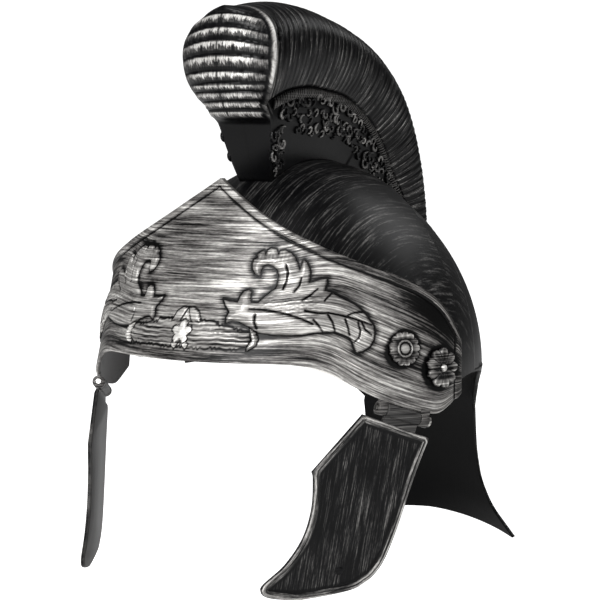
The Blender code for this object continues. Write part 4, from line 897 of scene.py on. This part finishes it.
swing = np.linspace(0, np.pi / 2, FACE_COLUMNS)[:-1]
share = np.concatenate([0 * swing, np.linspace(0, 0.955, CREST_COLUMNS),
                        np.linspace(0.958, 1, CREST_END_COLUMNS)])[:, None]
narrow = np.concatenate([np.sin(swing), np.ones(CREST_COLUMNS + CREST_END_COLUMNS)])[:, None]
swell = np.concatenate([np.cos(swing), np.zeros(CREST_COLUMNS + CREST_END_COLUMNS)])[:, None]
rim = CREST_RADIUS * soft(share, CREST_LENGTH, 1, 0.02)
half = CREST_HALF * soft(share, CREST_LENGTH, 2, 0.02)
foot = seat(0 * share, crest_angle(share, CREST_RADIUS * 0.5 + 0 * share))
rope = ROPE_RADIUS * (1 + ROPE_SWELL * (1 - share / ROPE_SWELL_SHARE).clip(0))
rope = rope.clip(foot + (rim - foot) * ROPE_SHARES[0], foot + (rim - foot) * ROPE_SHARES[1])
bead = np.minimum(ROPE_WIDTH / 2, (rim - foot) * BEAD_SHARE)
lifts = 1 - np.linspace(0, 1, 74)[None, :] ** 1.5
hair_radius = rope + bead + (rim - rope - bead) * lifts
hair_half = half * hair_width(lifts)
rope_turn = np.linspace(1, -1, 9)[None, 1:-1]
rope_radius = rope + bead * rope_turn
rope_half = half * (0.60 + 0.03 * np.sqrt(1 - rope_turn ** 2))
panel = np.linspace(0.97, 0, 18)[None, :]
panel_radius = foot + (rope - bead - foot) * panel
panel_half = half * soft(panel, PANEL_WIDTHS, 1, 0.05)
radius = np.concatenate([hair_radius, rope_radius, panel_radius], axis=1)
across = np.concatenate([hair_half, rope_half, panel_half], axis=1) * narrow
degrees = crest_angle(share, radius)
on_face = smooth((radius / CREST_RADIUS - 0.675) / 0.03)
ahead = CREST_NOSE * swell * (0.06 + 0.94 * on_face)
foot_row = radius.shape[1] - 1
radius[:, foot_row] = seat(across[:, foot_row], degrees[:, foot_row])
base = crest_place(across, degrees, radius, ahead)

# rolls of the face, droop at its sides and fade out at its border
down = (rim - radius) * 1000
level = down - ROLL_DROOP * (across / CREST_HALF) ** 2 * (1 - down / 42).clip(0)
roll = np.searchsorted(ROLL_GROOVES, level.ravel()).reshape(level.shape).clip(1, len(ROLL_GROOVES) - 1)
edges_low, edges_high = np.take(ROLL_GROOVES, roll - 1), np.take(ROLL_GROOVES, roll)
within = ((level - edges_low) / (edges_high - edges_low)).clip(0, 1)
face_zone = (share == 0) * on_face
side_fade = smooth((1 - narrow) / 0.10)
pillow = np.sqrt((1 - (2 * within - 1) ** 2).clip(0))
face_rise = ROLL_DEPTH * (pillow - 0.75) * face_zone * side_fade
lip = np.exp(-((narrow - 1) / 0.02) ** 2 - (share / 0.006) ** 2) * on_face
lip_bright = lip * (0.40 + 0.60 * smooth((radius / CREST_RADIUS - 0.80) / 0.06))
lip_bright = lip_bright * (1 - 0.35 * smooth((radius / CREST_RADIUS - 1.03) / 0.03))
second_line = 0.42 * np.exp(-((share - 0.015) / 0.0026) ** 2) * on_face

# combed hair: grooves of uneven width and depth, along lines of one share of the length
no_hair = np.zeros((len(share), radius.shape[1] - lifts.shape[1]))
hair_lift = np.concatenate([lifts + 0 * share, no_hair], axis=1)
hair_zone = smooth(hair_lift / 0.06) * (share > 0) * smooth((share - 0.004) / 0.012)
hair_zone = hair_zone * smooth((1.0 - share) / 0.03)
length = share * np.radians(CREST_FRONT + CREST_TAIL) * 118.0
rng = np.random.default_rng(11)
drift = sum(rng.uniform(0.3, 0.9) * np.sin(length / rng.uniform(9, 30) + rng.uniform(0, 6)) for _ in range(5))
sway = 0.5 * np.sin(down / 9.0 + length / 17.0)
phase = 2 * np.pi * (length / HAIR_PITCH) + drift + sway
locks = 0.5 + 0.5 * np.cos(phase)
strands = 0.5 + 0.5 * np.cos(phase * 3.7 + 1.3 * drift)
hair_rise = -HAIR_DEPTH * hair_zone * (0.7 * locks ** 3 + 0.5 * strands)
hair_rise = hair_rise * (0.15 + 0.85 * smooth(across / 0.018))
hole = ((down - HOLE_DOWN) / HOLE_HALF[0]) ** 2 + ((length - HOLE_BACK) / HOLE_HALF[1]) ** 2
in_hole = smooth((1.25 - hole) / 0.5) * (share > 0)
hole_depth = HOLE_DEPTH * in_hole
bed = np.zeros_like(radius)
bed[:, lifts.shape[1] - 1:lifts.shape[1] + rope_turn.shape[1]] = -0.0006
normals = grid_normals(base)
normals *= np.sign(normals[FACE_COLUMNS + 100, 40, 0])
lift_by = (face_rise + 0.0007 * lip + hair_rise - hole_depth + bed * (share > 0) * (share < 0.995))
inset = smooth(across / 0.0025)
crest_points = base + normals * (lift_by * np.where(share == 0, 1, inset))[..., None]
crest_points[..., 0] = crest_points[..., 0].clip(SEAM_HALF)
crest_points[:, 0, 0] = SEAM_HALF
crest_points[0, :, 0] = SEAM_HALF
tip = crest_points[-1:, :, :].copy()
tip[..., 0] = SEAM_HALF
crest_points[-1] = tip[0]

row_is_hair = (np.arange(radius.shape[1]) < lifts.shape[1])[None, :]
silver = np.full(radius.shape, BARE)
patchy = 0.5 + 0.5 * np.sin(length / 7.3 + 2.1 * np.sin(hair_lift * 5 + length / 21.0))
lower = 0.5 + 0.7 * smooth((0.75 - hair_lift) / 0.5)
hair_silver = (0.07 + 0.20 * (1 - locks ** 2) * patchy * lower + 0.10 * strands * (1 - locks)
               - 0.16 * locks)
silver = np.where((share > 0) & row_is_hair, hair_silver, silver)
ragged = (0.07 * np.sin(across * 2900) + 0.07 * np.sin(across * 5300 + roll)
          + 0.10 * np.sin(across * 900 + 2 * roll))
roll_bright = smooth((within - 0.12) / 0.10) * smooth((0.56 + ragged - within) / 0.12)
roll_grey = smooth((within - 0.10) / 0.10) * smooth((0.86 - within) / 0.10)
wear = 1 - 0.60 * smooth((across / CREST_HALF - 0.50 + 0.3 * ragged) / 0.3)
wear = wear - 0.15 * smooth((down - 26) / 20)
face_silver = 0.02 + (0.28 * roll_grey + 0.52 * roll_bright * wear) * smooth((level - 1.0) / 1.5)
face_silver = face_silver * (1 - 0.8 * smooth((narrow - 0.93) / 0.03))
face_silver = face_silver * (1 - 0.7 * np.exp(-(across / 0.0005) ** 2))
is_face, is_hair = (share == 0) & (on_face > 0.5), (share > 0) & row_is_hair
silver = np.where(is_face, face_silver, silver)
silver = silver + 0.90 * lip_bright + second_line - 0.6 * in_hole
stroke = np.where(is_face, 0.6, np.where(is_hair, 1.6, 0.0))
along = np.where(share == 0, down * 3, down)
cross = np.where(share == 0, across * 1000, length + 0 * down)
crest_outer = dressed(crest_points, along, cross, stroke, silver)
flat = crest_outer.copy()
flat[..., 0] = SEAM_HALF
crest_left = walled(crest_outer, flat)


def flipped(body):
    """The same body on the wearer's right."""
    data = body[0].copy()
    data[:, 0] *= -1
    return data, [face[::-1] for face in body[1]]


# Black polystyrene with silver rubbed on its raised parts: nearly white on the rolls, thin grey
# scratches along the hair, bare satin black in the grooves and on the neck.
CREST_STOPS = ((0.0, "#050506"), (0.20, "#151516"), (0.42, "#4a4948"), (0.62, "#8c8a88"), (0.82, "#d4d2ce"),
               (1.0, "#fbfaf7"))
crest_plastic = rubbed_plastic("drybrushed_black_polystyrene", CREST_STOPS, (16.0, 0.7), (26.0, 3.0),
                               (0.22, 0.14, 0.10), (0.33, 0.44), (0.0, 0.4))


# Rope border: a moulded cord of slanted beads, with silver on their tops. Each is one unit across,
# given as places across it with its thickness there.
BEAD_ROWS = ((-0.5, 0.08), (-0.25, 0.22), (0.0, 0.25), (0.25, 0.22), (0.5, 0.08))
BEAD_SIDES, BEAD_SLANT, BEAD_COUNT, BEAD_ACROSS = 8, 0.5, 118, 0.0056
CURL_SIDES, CURL_ROWS, CURL_SIZE, CURLS_A_ROW = 6, 11, (0.0042, 0.0066), 40


def bead_shape():
    """One bead of the rope, one unit across, closed, slanted over the cord."""
    points = []
    for across, thick in BEAD_ROWS:
        for turn in np.linspace(0, 2 * np.pi, BEAD_SIDES, endpoint=False):
            lean = thick * 0.60 * math.cos(turn) + across * BEAD_SLANT
            points.append((lean, across, thick * 1.2 * math.sin(turn)))
    return bare_mesh("bead_shape", points, tube_faces(len(BEAD_ROWS), BEAD_SIDES))


def curl_shape():
    """One leaf scroll about one unit across: a tapering tendril with a curled tip."""
    points = []
    for turn in np.linspace(0, 1, CURL_ROWS):
        angle, reach = 4.6 * turn, 0.55 * (1 - 0.72 * turn)
        centre = np.array([reach * math.cos(angle), reach * math.sin(angle), 0.05])
        outward = np.array([math.cos(angle), math.sin(angle), 0.0])
        thick = 0.15 * math.sin(np.pi * min(0.12 + turn * 0.80, 1.0)) + 0.05
        for step in np.linspace(0, 2 * np.pi, CURL_SIDES, endpoint=False):
            points.append(centre + outward * thick * math.cos(step) + UP * thick * 1.1 * math.sin(step))
    return bare_mesh("curl_shape", points, tube_faces(CURL_ROWS, CURL_SIDES))


def side_frames(shares, row_shares):
    """Places, outward ways and lengthwise ways on the crest's side, by share of its length and
    share of the way from the foot (0) to the rope's middle (1)."""
    rows, columns = base.shape[1], base.shape[0]
    column = np.interp(shares, share[FACE_COLUMNS - 1:, 0], np.arange(FACE_COLUMNS - 1, columns))
    places, outs, ways = [], [], []
    rope_row = lifts.shape[1] + rope_turn.shape[1] // 2
    for where, level_share in zip(column, row_shares):
        row = rope_row + (rows - 1 - rope_row) * (1 - level_share)
        low_column, low_row = int(min(where, columns - 2)), int(min(row, rows - 2))
        places.append(base[low_column, low_row])
        outs.append(normals[low_column, low_row])
        ways.append(unit(base[low_column + 1, low_row] - base[low_column, low_row]))
    return np.array(places), np.array(outs), np.array(ways)


def top_tones(sides, rings):
    """Silver round each ring of a lying tube: full on its top, none on its lower side."""
    return np.tile(np.sin(np.linspace(0, 2 * np.pi, sides, endpoint=False)).clip(0), rings)


bead_places, bead_outs, bead_ways = side_frames(np.linspace(0.03, 0.975, BEAD_COUNT),
                                                np.ones(BEAD_COUNT))
beads = set_shapes(bead_places + bead_outs * 0.0002, bead_outs, bead_ways, bead_shape(), crest_plastic,
                   BEAD_ACROSS, BEAD_ACROSS)
picker = np.random.default_rng(23)
curl_shares, curl_levels = [], []
for level_share in (0.80, 0.60, 0.40):
    for number in range(CURLS_A_ROW):
        where = 0.05 + 0.86 * (number + picker.uniform(-0.3, 0.3)) / CURLS_A_ROW
        if level_share > 0.5 or where > 0.12:
            curl_shares.append(where)
            curl_levels.append(level_share + picker.uniform(-0.07, 0.07))
for where in (0.015, 0.03, 0.045, 0.06):
    for level_share in (0.1, 0.2, 0.3, 0.4, 0.5):
        curl_shares.append(where)
        curl_levels.append(level_share + picker.uniform(-0.04, 0.04))
curl_places, curl_outs, curl_ways = side_frames(np.array(curl_shares), np.array(curl_levels))
curls = set_shapes(curl_places + curl_outs * 0.0001, curl_outs, curl_ways, curl_shape(), crest_plastic,
                   *CURL_SIZE, spin=math.pi, seed=8)
bead_tones = 0.52 * top_tones(BEAD_SIDES, len(BEAD_ROWS) * BEAD_COUNT) ** 2
curl_tones = top_tones(CURL_SIDES, CURL_ROWS * len(curl_places))
curl_tones *= np.repeat(picker.uniform(0.05, 0.75, len(curl_places)), CURL_ROWS * CURL_SIDES)
trim = joined(body_of_mesh(beads, 0.3, BARE + bead_tones), body_of_mesh(curls, 0.6, BARE + curl_tones))
crest_left = joined(crest_left, trim)
for side_name, half_body in (("left", crest_left), ("right", flipped(crest_left))):
    name = f"crest_half_{side_name}"
    fit(name, make_mesh(name, half_body, crest_plastic, 55.0), "helmet", "crest_plastic",
        f"crest_{side_name}")

# Cheek guards: thin black polystyrene plates with a raised border round a sunk panel, each hung
# from a barrel that turns on the plate's hinge pin. Silver is rubbed down the panel and border.
GUARD_WIDTH, GUARD_LENGTH, GUARD_THICK, GUARD_RECESS, GUARD_WEB = 0.100, 0.0939, 0.0026, 0.0009, 0.0076
GUARD_OUTLINE = (
    (0.230, -0.016), (0.520, 0.282), (0.512, 0.325), (0.520, 0.484), (0.570, 0.644),
    (0.670, 0.782), (0.790, 0.878), (0.805, 0.915), (0.780, 0.948), (0.700, 0.970),
    (0.570, 0.984), (0.310, 0.963), (0.215, 0.925), (0.160, 0.885), (0.100, 0.805),
    (0.030, 0.644), (-0.080, 0.335), (-0.160, 0.144))
GUARD_CORNERS = (0, 1, 17)                # those that stay sharp
GUARD_COLUMNS, GUARD_BORDER_RINGS, BACK_RINGS = 400, 8, 3
# the guards' inner faces are plain black plastic; the grey given to them is a painted reflection
GUARD_BACK_SHEEN, BARREL_SILVER = 0.36, 0.36
GUARD_HEART = (0.30, 0.60)                # a place on the panel, which tells inward from outward
MOULD_MARK = (0.365, 0.845, 0.0022)       # small plain disc low on the panel


def guard_outline():
    """Outline of a guard in metres forward and down, rounded except at its corners, evenly set."""
    points = [np.array([x * GUARD_WIDTH, y * GUARD_LENGTH]) for x, y in GUARD_OUTLINE]
    count, line = len(points), []
    for number in range(count):
        before, here, after, beyond = (points[(number + step) % count] for step in (-1, 0, 1, 2))
        if number in GUARD_CORNERS:
            before = here - (after - here)
        if (number + 1) % count in GUARD_CORNERS:
            beyond = after + (after - here)
        for t in np.linspace(0, 1, 24, endpoint=False):
            bend = 2 * before - 5 * here + 4 * after - beyond
            twist = 3 * here - before - 3 * after + beyond
            line.append(0.5 * (2 * here + (after - before) * t + bend * t ** 2 + twist * t ** 3))
    line = np.array(line + [line[0]])
    run = np.concatenate([[0], np.cumsum(np.linalg.norm(np.diff(line, axis=0), axis=1))])
    even = np.linspace(0, run[-1], GUARD_COLUMNS, endpoint=False)
    return np.stack([np.interp(even, run, line[:, 0]), np.interp(even, run, line[:, 1])], axis=-1)


guard_line = guard_outline()
ahead_way = np.roll(guard_line, -1, axis=0) - np.roll(guard_line, 1, axis=0)
ahead_way = sum(np.roll(ahead_way, step, axis=0) for step in range(-4, 5))
inward = np.stack([-ahead_way[:, 1], ahead_way[:, 0]], axis=-1)
inward /= np.linalg.norm(inward, axis=1, keepdims=True)
heart = np.array([GUARD_HEART[0] * GUARD_WIDTH, GUARD_HEART[1] * GUARD_LENGTH])
if np.sum(inward * (heart - guard_line)) < 0:
    inward = -inward
# the border's rings, which stop where they would run into one another at a corner: inward
# distance in millimetres, rise in metres, silver
GUARD_PROFILE = ((0.0, -0.0009, 0.20), (0.2, -0.0004, 0.44), (0.6, -0.0001, 0.66),
                 (1.1, 0.0, 0.58), (2.0, 0.0001, 0.30), (2.8, 0.0, 0.46), (3.3, -0.0002, 0.34),
                 (3.8, -0.0006, 0.0), (4.4, -0.0009, -0.10), (5.6, -0.0009, 0.14))
profile = np.array(GUARD_PROFILE)
closed_line = [tuple(point) for point in guard_line] + [tuple(guard_line[0])]
depth = np.zeros(len(guard_line))
moving = np.ones(len(guard_line), bool)
for step in np.arange(0.2, profile[-1, 0] + 0.01, 0.2) / 1000:
    place = guard_line + inward * step
    moving &= line_gap(place[:, 0], place[:, 1], closed_line) > step * 0.97
    depth = np.where(moving, step, depth)
number = np.arange(len(guard_line))
rings = []
for gap in profile[:, 0] / 1000:
    whole = number[depth >= gap - 0.0001]
    apart = np.abs(number[:, None] - whole[None, :])
    nearest = whole[np.argmin(np.minimum(apart, len(number) - apart), axis=1)]
    rings.append((guard_line + inward * gap)[nearest])
flat = np.stack(rings, axis=1)
rise = np.broadcast_to(profile[:, 1], flat.shape[:2])
tone = np.broadcast_to(profile[:, 2], flat.shape[:2])

# Black polystyrene with grey rubbed down it in broken streaks, silver only along the border.
GUARD_STOPS = ((0.0, "#060607"), (0.20, "#141415"), (0.40, "#454443"), (0.60, "#868482"), (0.85, "#d9d7d3"),
               (1.0, "#f6f4f0"))
guard_plastic = rubbed_plastic("streaked_black_polystyrene", GUARD_STOPS, (20.0, 0.8), (34.0, 5.0),
                               (0.24, 0.20, 0.10), (0.34, 0.46), (0.0, 0.4))

for side, side_name in ((1.0, "left"), (-1.0, "right")):
    front_end, rear_end = hinge_ends(side)
    middle = (front_end + rear_end) / 2
    forward = unit((front_end - rear_end) * np.array([1.0, 1.0, 0.0]))
    outward = np.cross(UP, forward)
    outward *= np.sign(outward[0] * side)
    shape = middle + forward * flat[..., :1] - UP * flat[..., 1:]
    outer = shape + outward * (GUARD_THICK / 2 + rise)[..., None]
    chamfer = np.minimum(rise * 0.6, 0) * (np.arange(flat.shape[1]) < BACK_RINGS)
    inner = shape - outward * (GUARD_THICK / 2 + chamfer)[..., None]
    on_border = np.arange(flat.shape[1]) < GUARD_BORDER_RINGS
    along = np.where(on_border, number[:, None] * 0.72, flat[..., 1] * 1000)
    cross = np.where(on_border, profile[:, 0], flat[..., 0] * 1000 + flat[..., 1] * -180)
    columns, rows = flat.shape[:2]
    # painted reflection: the plain black inner face is made grey and faintly streaked
    back_grid = dressed(inner[:, :BACK_RINGS], along[:, :BACK_RINGS], cross[:, :BACK_RINGS], 0.25,
                        GUARD_BACK_SHEEN)
    data = np.concatenate([dressed(outer, along, cross, 1.0, tone).reshape(-1, 7), back_grid.reshape(-1, 7)])
    first = columns * rows
    face_rim = np.arange(columns) * rows
    back_rim = np.arange(columns) * BACK_RINGS + first
    plate_faces = quads(columns, rows, ring=True).tolist()
    plate_faces += (quads(columns, BACK_RINGS, ring=True)[:, ::-1] + first).tolist()
    edge = [face_rim, back_rim, np.roll(back_rim, -1), np.roll(face_rim, -1)]
    plate_faces += np.stack(edge, axis=-1).tolist()
    plate_faces += [(face_rim + rows - 1).tolist(), (back_rim[::-1] + BACK_RINGS - 1).tolist()]
    mark = middle + forward * MOULD_MARK[0] * GUARD_WIDTH - UP * MOULD_MARK[1] * GUARD_LENGTH
    radius = MOULD_MARK[2]
    disc = turned_body(mark + outward * (GUARD_THICK / 2 - GUARD_RECESS), outward,
                       ((radius, -0.0004, 0), (radius, 0.00015, 0), (radius * 0.9, 0.0003, 0)), 0.0)
    plate_body = joined((data, plate_faces), disc)
    axis = unit(rear_end - front_end)
    start_end = front_end + axis * (KNUCKLE_LENGTH + GAP)
    barrel = knuckle(start_end, rear_end - axis * (KNUCKLE_LENGTH + GAP), -UP, GUARD_WEB, BARREL_SILVER)
    name = f"cheek_guard_plate_{side_name}"
    fit(name, make_mesh(name, joined(plate_body, barrel), guard_plastic), f"cheek_{side_name}",
        "guard_plastic", f"cheek_guard_{side_name}")

# Hinge pins: short steel wire with a peened head, bright where it shows.
pin_steel = bpy.data.materials.new("drawn_steel_wire")
pin_steel.use_nodes = True
pin_tree = pin_steel.node_tree
pin_shader = pin_tree.nodes["Principled BSDF"]
pin_shader.inputs["Metallic"].default_value = 1.0
place = node(pin_tree, "ShaderNodeTexCoord")["Object"]
grain = node(pin_tree, "ShaderNodeTexNoise", {"Vector": place, "Scale": 1400.0, "Detail": 3.0})["Fac"]
tint = node(pin_tree, "ShaderNodeValToRGB", {"Fac": grain}, ((0.35, "#8f8d8a"), (0.65, "#d8d6d2")))["Color"]
pin_tree.links.new(tint, pin_shader.inputs["Base Color"])
gloss = node(pin_tree, "ShaderNodeMapRange", {"Value": grain, "To Min": 0.24, "To Max": 0.42})[0]
pin_tree.links.new(gloss, pin_shader.inputs["Roughness"])
for side_name in ("left", "right"):
    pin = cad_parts[f"hinge_pin_{side_name}"]
    for slot in pin.material_slots:
        slot.material = pin_steel

# Stage: a pale plain floor under soft studio light, with the camera where the photo was taken.
FLOOR_LEVEL, FLOOR_SIZE = -0.2305, 6.0
size = FLOOR_SIZE / 2
corners = [(x * size, y * size, FLOOR_LEVEL) for x, y in ((-1, -1), (1, -1), (1, 1), (-1, 1))]
floor_mesh = bare_mesh("floor", corners, [(0, 1, 2, 3)])
floor = bpy.data.objects.new("floor", floor_mesh)
bpy.context.scene.collection.objects.link(floor)
# Matt white paper: bright, with no gloss at all. It glows to the camera, so that the background is
# as plain as a studio sweep, and far less into the black plastic, which stays black.
paper = bpy.data.materials.new("matt_white_paper")
paper.use_nodes = True
paper_shader = paper.node_tree.nodes["Principled BSDF"]
paper_shader.inputs["Base Color"].default_value = linear("#fbfbfb")
paper_shader.inputs["Roughness"].default_value = 0.9
paper_shader.inputs["Emission Color"].default_value = linear("#ffffff")
seen = node(paper.node_tree, "ShaderNodeLightPath")["Is Camera Ray"]
shine = node(paper.node_tree, "ShaderNodeMapRange", {"Value": seen, "To Min": 0.14, "To Max": 1.1})[0]
paper.node_tree.links.new(shine, paper_shader.inputs["Emission Strength"])
floor_mesh.materials.append(paper)

world = bpy.data.worlds.new("studio")
bpy.context.scene.world = world
world.use_nodes = True
sky = world.node_tree
ray = node(sky, "ShaderNodeLightPath")["Is Camera Ray"]
strength = node(sky, "ShaderNodeMapRange", {"Value": ray, "To Min": 0.10, "To Max": 1.15})[0]
background = sky.nodes["Background"]
background.inputs["Color"].default_value = linear("#ffffff")
sky.links.new(strength, background.inputs["Strength"])
bpy.context.scene.view_settings.view_transform = "Standard"

LIGHTS = (("key", (0.15, -1.45, 0.75), 0.8, 25.0), ("fill", (1.45, -0.55, 0.45), 0.9, 4.0),
          ("back", (0.6, 1.4, 1.1), 0.9, 5.0), ("overhead", (-0.2, -0.3, 1.7), 1.0, 5.0))
target = Vector((0.0, 0.0, -0.06))
for name, place, width, power in LIGHTS:
    lamp = bpy.data.lights.new(name, "AREA")
    lamp.size, lamp.energy = width, power
    light = bpy.data.objects.new(name, lamp)
    light.location = place
    light.rotation_euler = (target - Vector(place)).to_track_quat("-Z", "Y").to_euler()
    bpy.context.scene.collection.objects.link(light)

VIEW_TURN, VIEW_LIFT, VIEW_DISTANCE = math.radians(33.63), math.radians(4.85), 1.058
VIEW_SHIFT, VIEW_LENS, VIEW_SENSOR = (-0.0016, 0.0233), 109.74, 36.0
right = Vector((math.cos(VIEW_TURN), math.sin(VIEW_TURN), 0.0))
back = Vector((math.sin(VIEW_TURN) * math.cos(VIEW_LIFT), -math.cos(VIEW_TURN) * math.cos(VIEW_LIFT),
               math.sin(VIEW_LIFT)))
upward = back.cross(right)
aim = Vector((0.0, 0.0, BROW_LEVEL)) + right * VIEW_SHIFT[0] + upward * VIEW_SHIFT[1]
eye = aim + back * VIEW_DISTANCE
camera_data = bpy.data.cameras.new("camera")
camera_data.lens, camera_data.sensor_width = VIEW_LENS, VIEW_SENSOR
camera = bpy.data.objects.new("camera", camera_data)
camera.matrix_world = Matrix.Translation(eye) @ Matrix((right, upward, back)).transposed().to_4x4()
bpy.context.scene.collection.objects.link(camera)
bpy.context.scene.camera = camera
